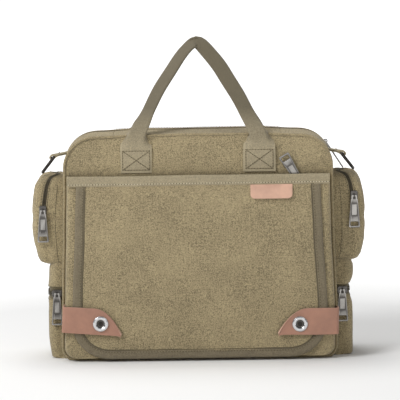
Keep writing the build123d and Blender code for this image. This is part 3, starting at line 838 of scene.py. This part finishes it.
def along_x(half, profile):
    """Grid of a strip that runs across the bag, from its section as Y and Z, top first."""
    return np.array([[(x, y, z) for x in np.linspace(-half, half, 90)] for y, z in profile[::-1]])


def mouth_band():
    """Folded tape over the pocket's mouth, stitched along its lower edge."""
    half, low, high, out = BAND_HIGH[0], BAND_LOW[2], BAND_HIGH[2], BAND_LOW[1]
    grid = along_x(half, [(out + 2.2, high - 1.5), (out + 1.5, high + 0.1), (out + 0.5, high),
                          (out - 0.1, high - 1.6), (out - 0.5, (low + high) / 2), (out - 1.3, low + 2.2),
                          (out - 1.5, low + 0.6), (out - 1.4, low - 0.6), (out - 0.8, low - 0.9)])
    grid[..., 1] -= pucker(grid, 0, 1.0, 0.22, 77, 11.0)
    sew("mouth_band", grid, TAPE_T, "band", "bag", "canvas", ["front_pocket_band"])
    seam = along_x(half, [(out - 1.4, low + 1.6)])[0]
    stitches("band_seam", seam, (0, -1, 0), "bag", thread="pale_thread")


def front_zipper():
    """The pocket's zipper, lying level behind the band."""
    low, high = limits("front_zip")
    x = np.linspace(high[0], low[0], 75)
    line = together(x, (low[1] + high[1]) / 2, low[2] + 1.2)
    for which, way in (("outer", -1), ("inner", 1)):
        zipper_half(f"front_zip_{which}", line, everywhere((0, 0, 1), line), everywhere((0, way, 0), line),
                    (high[1] - low[1]) / 2, "bag", ["front_zip"] if way < 0 else [], relaxed=False)


# ---- flap ----
FLAP_LOW, FLAP_HIGH = limits("flap_panel")
FLAP_Y, FLAP_TOP = FLAP_LOW[1], FLAP_HIGH[2]
FLAP_R, FLAP_BASE_HALF, FLAP_TOP_HALF = 46.0, 153.0, 143.5
BIND_W = 9.0
TUCK = 1.4
flap_width = trapezium_width(FLAP_LOW[2], FLAP_TOP, FLAP_BASE_HALF, FLAP_TOP_HALF, FLAP_R, 0)
FLAP_ROWS = rows_between(FLAP_LOW[2], FLAP_TOP, FLAP_R, 0, 3.2)
FLAP_EDGE = edge_path(flap_width, FLAP_ROWS)
TAB_ZONE = (118.0, 46.0, 46.0, 34.0)     # centre X and Z and reach of the place where a tab lies on the flap


def flap_depth(grid):
    """How far the flap's face stands out: crowned, flat under the tabs, and softly creased."""
    x, z = np.abs(grid[..., 0]), grid[..., 2]
    side_gap, end_gap = flap_width(z) - x, np.minimum(z - FLAP_LOW[2], FLAP_TOP - z)
    depth = 2.6 * (1 - np.exp(-np.maximum(side_gap - 6, 0) / 24)) * (1 - np.exp(-end_gap / 26))
    centre_x, centre_z, reach_x, reach_z = TAB_ZONE
    under = np.exp(-((x - centre_x) / reach_x) ** 4 - ((z - centre_z) / reach_z) ** 4)
    creases = 0.55 * np.abs(noise(grid * np.array([1, 1, 1.6]), 42.0, 91)) + 0.3 * noise(grid, 19.0, 92)
    return (depth + creases * (1 - np.exp(-side_gap / 12))) * (1 - under)


def tucked(points):
    """The flap's top edge goes in behind the band."""
    moved = np.array(points, float)
    moved[..., 1] += TUCK * np.exp(-np.maximum(FLAP_TOP - moved[..., 2], 0) / 2.5)
    return moved


def round_flap(offsets):
    """Lines that follow the flap's edge, from top right to top left, at (outward, forward) offsets."""
    path = resample(np.vstack([FLAP_EDGE[::-1], FLAP_EDGE * np.array([-1, 1])]), 4.0)
    return np.array([[(x - nx * a, FLAP_Y - b, z - nz * a) for a, b in offsets]
                     for (x, z), (nx, nz) in zip(path, outward(path))])


def flap():
    """Flap with its lining, bound edge, and the fold along its top edge."""
    u = np.linspace(-1, 1, 97)
    x = flap_width(FLAP_ROWS)[:, None] * u[None]
    grid = together(x, FLAP_Y, FLAP_ROWS[:, None])
    grid[..., 1] -= flap_depth(grid)
    grid = tucked(grid)
    panel = sew("flap_cloth", grid, 1.9, "flap_canvas", "flap", "canvas", ["flap_panel"])
    back = grid[:, ::4].copy()
    back[..., 1] = FLAP_HIGH[1] - 0.45
    sew("flap_lining", back, 0.3, "lining", "flap", "lining", inside=True)
    grid = round_flap([(-BIND_W, 0.15), (-BIND_W + 0.2, 0.85), (-6.0, 1.2), (-3.0, 1.25), (-0.9, 1.05),
                       (0.5, 0.3), (0.9, -1.0), (0.5, -2.2), (-1.0, -2.75), (-BIND_W + 1, -2.75)])
    grid[..., 2] = np.maximum(grid[..., 2], 0.6)
    grid[..., 1] -= pucker(grid, 0, 1.0, 0.25, 95, 10.0)
    bind = sew("flap_edge_tape", tucked(grid), 0.7, "tape", "flap", "webbing", ["flap_binding"])
    seam, groove = round_flap([(1.5 - BIND_W, 1.2)])[:, 0], round_flap([(-BIND_W - 0.9, 0.35)])[:, 0]
    stitches("flap_edge_seam", tucked(seam), (0, -1, 0), "flap")
    # the ridge inside the binding is dressed in the darker zip tape colour: painted shade of the grooves on
    # either side of it
    dress(cord("flap_inner_ridge", tucked(groove), (0, -1, 0), circle(0.8, 7)), "zip_tape", "flap")
    grid = along_x(FLAP_TOP_HALF, [(FLAP_Y + 1.7, FLAP_TOP + 2.4), (FLAP_Y + 1.5, FLAP_TOP + 1.2),
                                   (FLAP_Y + 1.2, FLAP_TOP + 0.2), (FLAP_Y + 0.5, FLAP_TOP - 1.5),
                                   (FLAP_Y - 0.6, FLAP_TOP - 4.5)])
    fold = sew("flap_hinge_fold", grid, TAPE_T, "flap_canvas", None, "canvas")
    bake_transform(fold)


LABEL_CURL = 2.2            # the free lower edge stands off the flap


def label():
    """Blank leather tag sewn under the band."""
    low, high = limits("leather_label")
    left, right, base, top, radius = low[0], high[0], low[2] + 1.0, FLAP_TOP - 0.3, 5.0
    out, rows = low[1] - 0.5, []
    for z in np.concatenate([base + radius * (1 - np.cos(np.linspace(0, QUARTER, 7)[:-1])),
                             np.linspace(base + radius, top, 6)]):
        into = max(0.0, 1 - (z - base) / radius)
        nip = radius * (1 - math.sqrt(1 - into**2))
        curl = LABEL_CURL * ((top - z) / (top - base)) ** 2 - 2.3 * math.exp(-(top - z) / 3.0)
        rows.append([(a, out - curl - 0.35 * math.cos(math.pi * (a - (left + right) / 2) / (right - left)), z)
                     for a in np.linspace(left + nip, right - nip, 24)])
    cut_leather("label_leather_tag", np.array(rows), 1.6, "label_leather", "flap", ["leather_label"])


# ---- corner tabs ----
TAB_L, TAB_H, TAB_ROUND = 70.0, 31.0, 36.0
TAB_BEND = 3.5
SNAP_U, SNAP_V = 45.5, 13.0
SNAP_SIDES = 24
TAB_TILT = {"left": math.radians(4.0), "right": 0.0}
TAB_RAISED = {"left": 6.5, "right": 0.0}


def tab_top(u):
    """The tab's height at a distance from its seam."""
    t = np.clip((np.asarray(u, float) - TAB_ROUND) / (TAB_L - TAB_ROUND), 0, 1)
    return TAB_H * (1 - t**2.1) ** 0.85


def corner_tab(side, sign):
    """Leather strap from the side seam to its snap, a little curled, with raw edges."""
    low, high = limits(f"{side}_tab")
    hinge_x, floor = max(abs(low[0]), abs(high[0])), limits("right_tab")[0][2] + TAB_RAISED[side]
    out_y, back_y = low[1], FRONT_Y - 1.0
    cos, sin = math.cos(TAB_TILT[side]), math.sin(TAB_TILT[side])
    plan = [(hinge_x - 0.8, back_y), (hinge_x + 0.1, back_y - 6), (hinge_x + 0.6, back_y - 11)]
    plan += [(hinge_x + 0.6 - TAB_BEND + TAB_BEND * math.cos(a), out_y + TAB_BEND - TAB_BEND * math.sin(a))
             for a in np.linspace(0.25, QUARTER, 6)]
    tip = TAB_L - 9.3 * np.linspace(1, 0, 12)[1:] ** 2
    plan += [(hinge_x - u, out_y) for u in np.concatenate([np.linspace(5, 60, 26), tip])]
    grid = []
    for v in np.linspace(0, 1, 15):
        row = []
        for x, y in plan:
            u = hinge_x - x
            up = v * max(float(tab_top(u)), 0.4)
            curl = 0.7 * (2 * abs(v - 0.5)) ** 2 + 0.9 * ease((u - 52) / 18)
            press = 0.5 * math.exp(-((u - SNAP_U) / 13) ** 2 - ((up - SNAP_V) / 13) ** 2)
            lift = 0.0 if u < 3 else curl - press
            at_x, at_z = hinge_x - u * cos - up * sin, floor + up * cos - max(u, 0) * sin
            row.append((sign * at_x, y - lift - 0.2, at_z))
        grid.append(row)
    strap = cut_leather(f"{side}_tab_strap", np.array(grid), 1.9, "leather", None, [f"{side}_tab"])
    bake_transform(strap)
    centre = sum(limits(f"{side}_tab_snap")) / 2
    rings = [(4.35, 1.5), (4.2, 0.8), (3.0, 0.7), (1.6, 1.1), (0.6, 1.2)]      # radii and how far they stand out
    grid = np.array([[(centre[0] + x, out_y - out, centre[2] + z) for x, z in circle(r, SNAP_SIDES)]
                     for r, out in rings])
    bottom = np.arange(SNAP_SIDES) + (len(rings) - 1) * SNAP_SIDES
    faces = [*grid_faces(len(rings), SNAP_SIDES, tube=True), bottom]
    well = new_mesh(f"{side}_snap_well", grid.reshape(-1, 3), [f[::-1] for f in faces])
    dress(well, "dark_metal", f"{side}_tab")


front_pocket()
mouth_band()
front_zipper()
flap()
label()
for side, sign in SIDES.items():
    corner_tab(side, sign)


# ---- handles ----
STRAP_W, WEBBING_T = 38.0, 1.5
GRIP_HALF = 7.5             # flat half width of the folded grip
FOLD = 4.5                  # cloth taken up by each fold
HINGE_Z = 272.0
APEX = 113.2                # height of the loop's plan over its hinge
PATCH_X, PATCH_LOW, PATCH_HIGH = 73.0, 227.5, 250.0
LEFT_TWIST = math.radians(30)   # the left legs of both handles are turned a little about their own length


def folded(share):
    """Section of the webbing, flat at share 0 and folded back on itself at 1. Offsets to the side and up."""
    arc = np.concatenate([np.linspace(0, GRIP_HALF, 5), np.linspace(GRIP_HALF, GRIP_HALF + FOLD, 8)[1:],
                          np.linspace(GRIP_HALF + FOLD, STRAP_W / 2, 5)[1:]])
    turn = math.pi * share * np.clip((arc - GRIP_HALF) / FOLD, 0, 1)
    middle, step = (turn[1:] + turn[:-1]) / 2, np.diff(arc)
    side = np.concatenate([[0], np.cumsum(step * np.cos(middle))])
    up = -np.concatenate([[0], np.cumsum(step * np.sin(middle))])
    return together(np.concatenate([-side[:0:-1], side]), np.concatenate([up[:0:-1], up]))


def handle_path(face_y, way):
    """Centre line from one sewn end to the other, and the webbing's outward direction along it."""
    hinge_y, apex_y = face_y + way * 4.5, MID_Y + way * 5.0
    top = limits("front_handle")[1][2] - 9.5
    lean = math.atan2(apex_y - hinge_y, top - HINGE_Z)
    cos, sin = math.cos(lean), math.sin(lean)
    plan = [(-70.6, 0.0), (-64.0, 14.0), (-56.6, 31.0), (-45.5, 54.0), (-31.5, 77.0), (-19.5, 96.0),
            (-9.5, 108.0), (-2.0, APEX), (4.0, 111.5), (13.0, 101.0), (26.5, 83.0), (37.0, 65.0),
            (50.0, 42.0), (60.5, 20.0), (70.6, 0.0)]
    scale = (top - HINGE_Z) / cos / APEX
    loop = [(x, hinge_y + h * scale * sin, HINGE_Z + h * scale * cos) for x, h in plan]
    near = face_y + way * 1.5
    left = [(-PATCH_X, near, 224.0), (-PATCH_X, near, 238.0), (-PATCH_X, near + way * 0.3, 252.0),
            (-PATCH_X + 0.2, near + way * 1.3, 261.0)]
    right = [(-x, y, z) for x, y, z in left[::-1]]
    path = curve_through(left + loop + right, 3.2)
    share = ease((path[:, 2] - 250) / 34)[:, None]
    return path, np.array([0.0, way, 0.0]) * (1 - share) + way * np.array([0.0, cos, -sin]) * share


def handle(name, face_y, way):
    """One length of webbing: flat where it is sewn on, folded narrow in the hand."""
    path, outer = handle_path(face_y, way)
    rise = path[:, 2]
    share = 0.55 * ease((rise - 250) / 24) + 0.42 * ease((rise - 268) / 24)
    section = np.array([folded(s) for s in share])
    twist = way * LEFT_TWIST * ease((rise - 268) / 30) * ease((12 - path[:, 0]) / 24)
    cos, sin = np.cos(twist)[:, None], np.sin(twist)[:, None]
    side, up = section[..., 0], section[..., 1]
    section = together(side * cos - up * sin, side * sin + up * cos)
    crush = 1 + 0.06 * noise(path, 45.0, 61)
    grid = swept(path, outer, section * crush[:, None, None])
    grid[..., 1] += 0.25 * noise(grid, 14.0, 63)
    middle = np.zeros_like(grid)
    middle[:, grid.shape[1] // 2] = outer
    strap = sew(name + "_webbing", grid, WEBBING_T, "webbing", None, "webbing", [name, name + "_ends"],
                towards=middle, relaxed=False)
    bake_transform(strap)
    for side, sign in SIDES.items():
        y, half = face_y + way * 1.75, STRAP_W / 2 - 3.0
        left, right = sign * PATCH_X - half, sign * PATCH_X + half
        a, b, c, d = (left, PATCH_LOW), (right, PATCH_LOW), (right, PATCH_HIGH), (left, PATCH_HIGH)
        for which, line in {"box": (a, b, c, d, a), "rise": (a, c), "fall": (b, d)}.items():
            line = resample([(x, y, z) for x, z in line], 2.0)
            stitches(f"{name}_{side}_{which}", line, (0, way, 0), "bag", lift=0.12, relaxed=False)


handle("front_handle", FRONT_Y - 1.8, -1)
handle("back_handle", BACK_Y + 2.4, 1)


# ---- side pockets (right hand, mirrored for the left) ----
UP_LOW, UP_HIGH = limits("right_upper_pocket")
LID_SEAM_Z = limits("right_upper_lid")[0][2]
COVER_LOW, COVER_HIGH = limits("right_lower_cover")
TUB_LOW, TUB_HIGH = limits("right_lower_pocket")
SIDE_Y0, SIDE_Y1 = UP_LOW[1], UP_HIGH[1]
SIDE_MID = (SIDE_Y0 + SIDE_Y1) / 2
SIDE_R = 9.0                # upright corners of the side pockets
UPPER_OUTLINE = [(UP_LOW[2], 181.0), (UP_LOW[2] + 2.5, 189.5), (UP_LOW[2] + 9, 193.5), (140.0, 198.2),
                 (158.0, 200.2), (178.0, 200.0), (196.0, 197.4), (208.0, 195.0), (215.0, 191.5),
                 (218.5, 187.5), (UP_HIGH[2], 181.0)]      # heights and outer X
UPPER_ARCH, UPPER_FOOT = 20.0, 5.0


def side_of_body(z):
    """Where a side pocket meets the bulging side gusset."""
    return float(body_width(np.clip(z, BASE_R, TOP_Z - TOP_R))) - 2.0


def u_section(z, out, y0, radius, front_columns, turn_columns, crown):
    """One level of a side pocket: from the body along the front, round the outside and back along the rear.

    z is the height where it meets the body and its own height."""
    inner = side_of_body(z[0])
    radius = min(radius, SIDE_MID - y0, (out - inner) * 0.7)
    turn, rounding = np.linspace(0, QUARTER, turn_columns), np.linspace(0, QUARTER, 11)[1:]
    flat = together(np.linspace(inner, out - radius, front_columns + 1)[:-1], y0)
    corner = together(out - radius + radius * np.sin(turn), y0 + radius - radius * np.cos(turn))
    face = together(out + crown * np.sin(rounding), np.linspace(y0 + radius, SIDE_MID, 11)[1:])
    near = np.vstack([flat, corner, face])
    far = near[-2::-1].copy()
    far[:, 1] = 2 * SIDE_MID - far[:, 1]
    return together(*np.vstack([near, far]).T, z[1])


def upper_grid():
    """The whole upper pocket as one grid, from its bottom to the crest of its arch, and its heights."""
    low, high, arch, foot = UP_LOW[2], UP_HIGH[2], UPPER_ARCH, UPPER_FOOT
    levels = [(low, t) for t in np.linspace(0.1, 0.8, 4)]
    levels += [(z, 1.0) for z in np.concatenate([low + foot * (1 - np.cos(np.linspace(0.2, QUARTER, 5)[:-1])),
                                                 np.linspace(low + foot, LID_SEAM_Z, 13),
                                                 np.linspace(LID_SEAM_Z, high - arch, 9)[1:]])]
    levels += [(high - arch + arch * math.sin(a), 1.0) for a in np.linspace(0, QUARTER, 12)[1:]]
    levels += [(high, t) for t in (0.75, 0.5, 0.25, 0.02)]
    grid = []
    for z, share in levels:
        inset = 0.0
        if z > high - arch:
            inset = arch * 0.8 * (1 - math.sqrt(max(0.0, 1 - ((z - high + arch) / arch) ** 2)))
        if z < low + foot:
            inset = foot * (1 - math.sqrt(max(0.0, 1 - ((low + foot - z) / foot) ** 2)))
        y0 = SIDE_MID - (SIDE_MID - SIDE_Y0 - inset) * share
        out = float(np.interp(z, *zip(*UPPER_OUTLINE))) - (1.5 if share < 1 else 0.0)
        crest = 1.2 * (1 - share) if z >= high else 0.0
        grid.append(u_section((z, z + crest), out, y0, SIDE_R, 14, 8, 0.6 * share))
    return np.array(grid), np.array([z for z, _ in levels])


def wrinkled(grid, seams, seed, calm=1.0):
    """Pillowed and creased cloth for a side pocket, tight at its seams; calm scales it by column."""
    gap = np.min([np.abs(grid[..., 2] - s) for s in seams], axis=0)
    depth = 1.4 * (1 - np.exp(-gap / 7)) - 0.7
    depth = depth + 1.1 * noise(grid, 26.0, seed) + 0.6 * noise(grid * np.array([1, 1, 0.45]), 11.0, seed + 1)
    off_body = np.clip((grid[..., :1] - 163) / 12, 0, 1)
    return grid + face_normals(grid) * (depth * calm)[..., None] * off_body


def facing_out(normal, line, centre):
    """The same normals, turned away from a pocket's middle."""
    return normal * np.sign(np.sum(normal * (line - np.array(centre)), axis=1, keepdims=True))


ZIP_COLUMNS = (11, 13)      # columns of the upper pocket's grid that its zipper takes, from each end
ZIP_UNDER = 0.7             # how far this zipper lies under the canvas


def upper_pocket(side, sign):
    """Soft pocket with an arched zipper; the part outside the zipper is its lid."""
    grid, levels = upper_grid()
    columns = grid.shape[1]
    z0, z1 = ZIP_COLUMNS
    column = np.arange(columns)
    from_zip = np.minimum(np.abs(column - z0 - 1), np.abs(column - columns + z0 + 2))
    calm = np.clip((from_zip - 1) / 5, 0.15, 1)
    grid = mirrored(wrinkled(grid, (LID_SEAM_Z, UP_LOW[2] - 5), 131 if sign > 0 else 171, calm), sign)
    seam = int(np.argmin(np.abs(levels - LID_SEAM_Z)))

    def piece(name, part, body="bag", replaces=()):
        name = f"{side}_upper_pocket_{name}"
        return sew(name, part, POCKET_T, "canvas", body, "canvas", replaces, relaxed=False)

    piece("shell", grid[:seam + 1], replaces=[f"{side}_upper_pocket"])
    piece("front_strip", grid[seam:, :z0 + 1])
    piece("rear_strip", grid[seam:, columns - 1 - z0:])
    on_lid = [piece("lid", grid[seam:, z1:columns - z1], None, [f"{side}_upper_lid"])]
    for which, first, second in (("front", z0, z1), ("rear", columns - 1 - z0, columns - 1 - z1)):
        inner, outer = grid[seam:, first], grid[seam:, second]
        gap = float(np.linalg.norm(outer - inner, axis=1).mean())
        across, line = unit(outer - inner), (inner + outer) / 2
        normal = np.cross(across, unit(np.gradient(line, axis=0)))
        normal = facing_out(normal, line, (sign * 170.0, SIDE_MID, LID_SEAM_Z))
        line = line - ZIP_UNDER * normal
        for half, direction, body in (("inner", -across, "bag"), ("outer", across, None)):
            stands_for = [f"{side}_upper_zip_{half}"] if which == "front" else []
            chain = zipper_half(f"{side}_upper_zip_{which}_{half}", line, normal, direction,
                                gap / 2 + 1.4, body, stands_for, relaxed=False)
            on_lid += [] if body else chain
        up, aside, above = normal.mean(axis=0), across * 1.6, normal * 0.1
        seam_name, seam_in, seam_out = f"{side}_upper_seam_{which}", inner - aside + above, outer + aside + above
        stitches(seam_name + "_in", seam_in, up, "bag", relaxed=False)
        on_lid += stitches(seam_name + "_out", seam_out, up, None, relaxed=False)
    for one in on_lid:
        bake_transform(one)
    upright = grid[2:seam + 12, 6] + np.array([0, -0.1, 0])
    stitches(f"{side}_upper_upright_seam", upright, (0, -1, 0), "bag", relaxed=False)
    cross, section = grid[seam, 2:columns - 2], circle(0.75, 6, 1.3)
    welt = cord(f"{side}_upper_cross_welt", cross, (0, 0, 1), section, relaxed=False)
    dress(welt, "canvas", "bag")


def lower_sections(levels):
    """Grid of the lower pocket from levels of height, outer X, share of that reach and corner radius."""
    grid = []
    for z, out, share, radius in levels:
        inner = side_of_body(z)
        grid.append(u_section((z, z), inner + (out - inner) * share, SIDE_Y0, radius, 8, 7, 0.8 * share))
    return np.array(grid)


POCKET_SWELL = {"left": -2.0, "right": 2.2}     # how far each lower pocket bellies out past its zipper


def lower_pocket(side, sign):
    """Soft tub under a zipper, with a rolled canvas cover above it."""
    out = TUB_HIGH[0]
    tub_top, zip_top, top = TUB_HIGH[2], COVER_LOW[2], COVER_HIGH[2] + 4.0
    zip_z, foot = (tub_top + zip_top) / 2, 0.5

    def at(z, more=0.0, share=1.0, radius=SIDE_R):
        """A level; the pocket is fuller or flatter than its zipper, which keeps its own line."""
        swell = POCKET_SWELL[side] * (1 - math.exp(-((z - zip_z) / 13) ** 4))
        return z, out + swell + more, share, radius

    def on_line(z, more, share=1.0):
        return z, out + more, share, SIDE_R

    belly = POCKET_SWELL[side] * (1 - math.exp(-(zip_z / 13) ** 4))
    tub = [on_line(z, belly, share) for z, share in ((foot, 0.1), (foot, 0.5), (foot, 0.9), (foot + 0.8, 0.98),
                                                     (foot + 2.5, 1.0))]
    tub += [at(z, 0.8 * math.sin(math.pi * (z - 6) / (tub_top - 6))) for z in np.linspace(8, tub_top - 1.2, 15)]
    tub += [on_line(tub_top, -1.6)]
    cover = [on_line(zip_top, -1.6), on_line(zip_top + 1.4, 0.2)]
    cover += [at(z, 1.2 * math.sin(math.pi * (z - zip_top) / (top - zip_top)))
              for z in np.linspace(zip_top + 4, top - 7, 6)]
    crest = at(top)[1]
    cover += [(top - 7 + 7 * math.sin(a), crest - 7 + 7 * math.cos(a), 1.0, 8.0)
              for a in np.linspace(0.3, 1.45, 5)]
    cover += [(top, crest - 8, s, 6.0) for s in (0.75, 0.4, 0.1)]
    seed = 211 if sign > 0 else 241
    parts = {"tub": ("pocket", tub, (tub_top, 0)), "cover": ("cover", cover, (zip_top,))}
    for name, (node, levels, seams) in parts.items():
        grid = mirrored(wrinkled(lower_sections(levels), seams, seed), sign)
        sew(f"{side}_lower_pocket_{name}", grid, POCKET_T, "canvas", "bag", "canvas",
            [f"{side}_lower_{node}"], relaxed=False)
    band = [on_line(z, -1.5) for z in np.linspace(tub_top - 1.5, zip_top + 1.5, 7)]
    grid = mirrored(lower_sections(band), sign)
    sew(f"{side}_lower_zip_tape", grid, TAPE_T, "zip_tape", "bag", "zip_tape",
        ["lower_zips"] if sign > 0 else [], soft=False, relaxed=False)
    line = grid[len(band) // 2, 1:-1]
    normal = np.cross(unit(np.gradient(line, axis=0)), (0.0, 0.0, 1.0))
    normal = facing_out(normal, line, (sign * 165.0, SIDE_MID, 0))
    spots = resample(line, TEETH_PITCH)
    normal = unit(carried(normal, line, spots))
    for which, way in (("upper", 1), ("under", -1)):
        up = everywhere((0, 0, way), spots)
        centres = spots + 1.2 * up + TEETH_OUT * normal
        zipper_teeth(f"{side}_lower_teeth_{which}", centres, up, normal, "bag", relaxed=False)
    for which, z in (("over", zip_top + 1.9), ("under", tub_top - 1.9)):
        seam = mirrored(lower_sections([at(z, -0.5)]), sign)[0, 1:-1] + np.array([sign * 0.2, 0, 0])
        stitches(f"{side}_lower_seam_{which}", seam, (0, 0, 1), "bag", lift=0.0, relaxed=False)


for side, sign in SIDES.items():
    upper_pocket(side, sign)
    lower_pocket(side, sign)


# ---- rings, sliders and pulls ----
BAR_X, BAR_Z, BAR_R = 172.0, 242.0, 3.1     # the strap rings' bars, and the radius of the turn round them
TONGUE_T = 1.8


def ring_loops():
    """Doubled webbing tongues that hold the strap rings."""
    low, high = limits("ring_loops")
    y = np.linspace(low[1], high[1], 11)
    path = [(153.0, 249.0), (158.0, 248.0), (163.0, 246.9), (168.0, 246.0)]
    path += [(BAR_X + 1.6 + (BAR_R + 0.8) * math.sin(a), BAR_Z + BAR_R * math.cos(a))
             for a in np.linspace(0.2, 3.0, 12)]
    path += [(169.5, 241.6), (166.5, 243.2), (162.0, 244.2), (157.0, 245.3), (153.0, 246.3)]
    path = curve_through(path, 1.0)
    for side, sign in SIDES.items():
        grid = np.array([[(sign * x, b, z) for b in y] for x, z in path])
        away = (grid - np.array([sign * 166.0, 0, 243.6])) * np.array([1, 0, 1])
        sew(f"{side}_ring_tongue", grid, TONGUE_T, "webbing", "bag", "webbing",
            ["ring_loops"] if sign > 0 else [], towards=away, relaxed=False)
        line = np.array([(sign * 166.0, b, 247.3) for b in y[1:-1]])
        stitches(f"{side}_ring_tongue_seam", line, (0, 0, 1), "bag", relaxed=False)


RING_GROWTH = 0.45          # the wire looks a little thicker than it is drawn in the CAD
FINISHES = {"ring": "dark_metal", "slider": "gunmetal", "pull": "gunmetal", "snap": "snap_metal",
            "studs": "snap_metal"}


def finish_metal():
    """Metal finishes on the CAD's own hardware."""
    for name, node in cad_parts.items():
        for ending in FINISHES:
            if name.endswith(ending):
                dress(node, FINISHES[ending])
                node.data.polygons.foreach_set("use_smooth", [True] * len(node.data.polygons))
                round_edges(node, 0.12, 35).harden_normals = True
                if ending == "ring":
                    thicker = node.modifiers.new("thicker", "DISPLACE")
                    thicker.strength = RING_GROWTH * MM
                    thicker.mid_level = 0.0


# ---- inside the bag ----
LINING_IN = 3.4             # the lining's distance from the outer cloth
QUILT_PITCH = 46.0


def lining():
    """Thin lining, seen when the top is open."""
    def width(z):
        return body_width(np.clip(z, 3, TOP_Z)) - LINING_IN

    rows = rows_between(3.5, TOP_Z - 4.6, BASE_R - 3, TOP_R - 3, 12.0)
    for which, y, nodes in (("front", FRONT_Y + LINING_IN, ["lining"]), ("rear", BACK_Y - LINING_IN, [])):
        grid = filled(width, rows, 31, y, 0.0, seed=301, gathers=0.9)
        sew(f"lining_{which}", grid, LINING_T, "lining", "bag", "lining", nodes, inside=True)
    path = stretch(FROM_TOP, ~((np.abs(FROM_TOP[:, 0]) < MOUTH) & (FROM_TOP[:, 1] > TOP_Z / 2)))
    flat = np.zeros(len(path))
    strip = gusset_grid(path, FRONT_Y + LINING_IN, BACK_Y - LINING_IN, 15, flat, LINING_IN, 305, 0.9)
    strip[..., 2] = np.maximum(strip[..., 2], 2.9)
    sew("lining_strip", strip, LINING_T, "lining", "bag", "lining", inside=True)


def divider():
    """Quilted laptop divider: two faces and the border that joins them."""
    low, high = limits("laptop_divider")
    rows = rows_between(low[2], high[2], 10, 12, 9.0)
    width = trapezium_width(low[2], high[2], HALF_BASE - 6, HALF_TOP - 1, 10, 12)
    sheets = []
    for y, way in ((low[1] + 2.2, 1), (high[1] - 2.2, -1)):
        grid = filled(width, rows, 41, 0, 2.6, seed=311)
        quilt = 0.9 * np.abs(np.sin(math.pi * grid[..., 0] / QUILT_PITCH)) ** 0.5
        grid[..., 1] = y + way * (grid[..., 1] - quilt + 0.9)
        sheets.append(grid)
    shape = grid.shape[:2]
    index = np.arange(grid[..., 0].size).reshape(shape)
    border = np.concatenate([index[0, :], index[1:, -1], index[-1, -2::-1], index[-2:0:-1, 0]])
    front = grid_faces(*shape)
    sides = [(a, a + index.size, b + index.size, b) for a, b in zip(border, np.roll(border, -1))]
    faces = [*front, *(front[:, ::-1] + index.size), *sides]
    points = np.vstack([sheet.reshape(-1, 3) for sheet in sheets])
    pad = new_mesh("divider_pad", points, faces, np.vstack([grid_uv(sheet) for sheet in sheets]))
    dress(pad, "lining", "bag", ["laptop_divider"])


ring_loops()
finish_metal()
lining()
divider()
dress(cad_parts["base_board"], "board")


# ---- stage ----
SKY_LIGHT = 0.26            # the backdrop itself shows white
FLOOR_REACH = 60.0          # metres
WHITE_FROM, WHITE_AT = 0.45, 1.5            # distances over which the floor fades into the backdrop
LAMPS = {"key": ((-1.75, -1.6, 2.0), 1.0, 52), "fill": ((0.8, -2.3, 0.8), 1.6, 7),
         "top": ((-0.3, 0.5, 2.4), 1.4, 30)}       # place, size and watts


def studio():
    """Pale floor and soft light from the upper left."""
    bpy.context.scene.view_settings.view_transform = "Standard"
    world = bpy.data.worlds.new("studio")
    bpy.context.scene.world = world
    world.use_nodes = True
    sky = world.node_tree.nodes["Background"]
    sky.inputs[0].default_value = (1, 1, 1, 1)
    seen = world.node_tree.nodes.new("ShaderNodeLightPath").outputs["Is Camera Ray"]
    world.node_tree.links.new(fit(world.node_tree, seen, 0, 1, SKY_LIGHT, 1.0), sky.inputs[1])
    mesh = bpy.data.meshes.new("floor")
    corners = [(x * FLOOR_REACH, y * FLOOR_REACH, 0) for x, y in ((-1, -1), (1, -1), (1, 1), (-1, 1))]
    mesh.from_pydata(corners, [], [(0, 1, 2, 3)])
    floor = bpy.data.objects.new("floor", mesh)
    bpy.context.scene.collection.objects.link(floor)
    material, tree, shader = shade("floor")
    shader.inputs["Base Color"].default_value = (0.9, 0.9, 0.895, 1)
    shader.inputs["Roughness"].default_value = 0.7
    shader.inputs["Specular IOR Level"].default_value = 0.1
    shader.inputs["Emission Color"].default_value = (1, 1, 1, 1)
    apart = new_node(tree, "VectorMath", {0: in_space(tree)}, operation="LENGTH").outputs["Value"]
    tree.links.new(fit(tree, apart, WHITE_FROM, WHITE_AT), shader.inputs["Emission Strength"])
    floor.data.materials.append(material)
    for name, (place, size, power) in LAMPS.items():
        light = bpy.data.lights.new(name, "AREA")
        light.size = size
        light.energy = power
        lamp = bpy.data.objects.new(name, light)
        lamp.location = place
        lamp.rotation_euler = (Vector((0, 0, 0.17)) - Vector(place)).to_track_quat("-Z", "Y").to_euler()
        bpy.context.scene.collection.objects.link(lamp)


def camera():
    """A long lens low in front of the bag, held not quite level."""
    distance, rise, roll = 2.7, math.radians(5.5), math.radians(-0.8)
    aim = Vector((0.002, -0.03, 0.1892))
    lens = bpy.data.cameras.new("camera")
    lens.sensor_width = 36
    lens.lens = 203.5
    eye = bpy.data.objects.new("camera", lens)
    back = Vector((0, -math.cos(rise), math.sin(rise)))
    turn = (-back).to_track_quat("-Z", "Y").to_matrix().to_4x4()
    eye.matrix_world = Matrix.Translation(aim + distance * back) @ turn @ Matrix.Rotation(roll, 4, "Z")
    bpy.context.scene.collection.objects.link(eye)
    bpy.context.scene.camera = eye


studio()
camera()
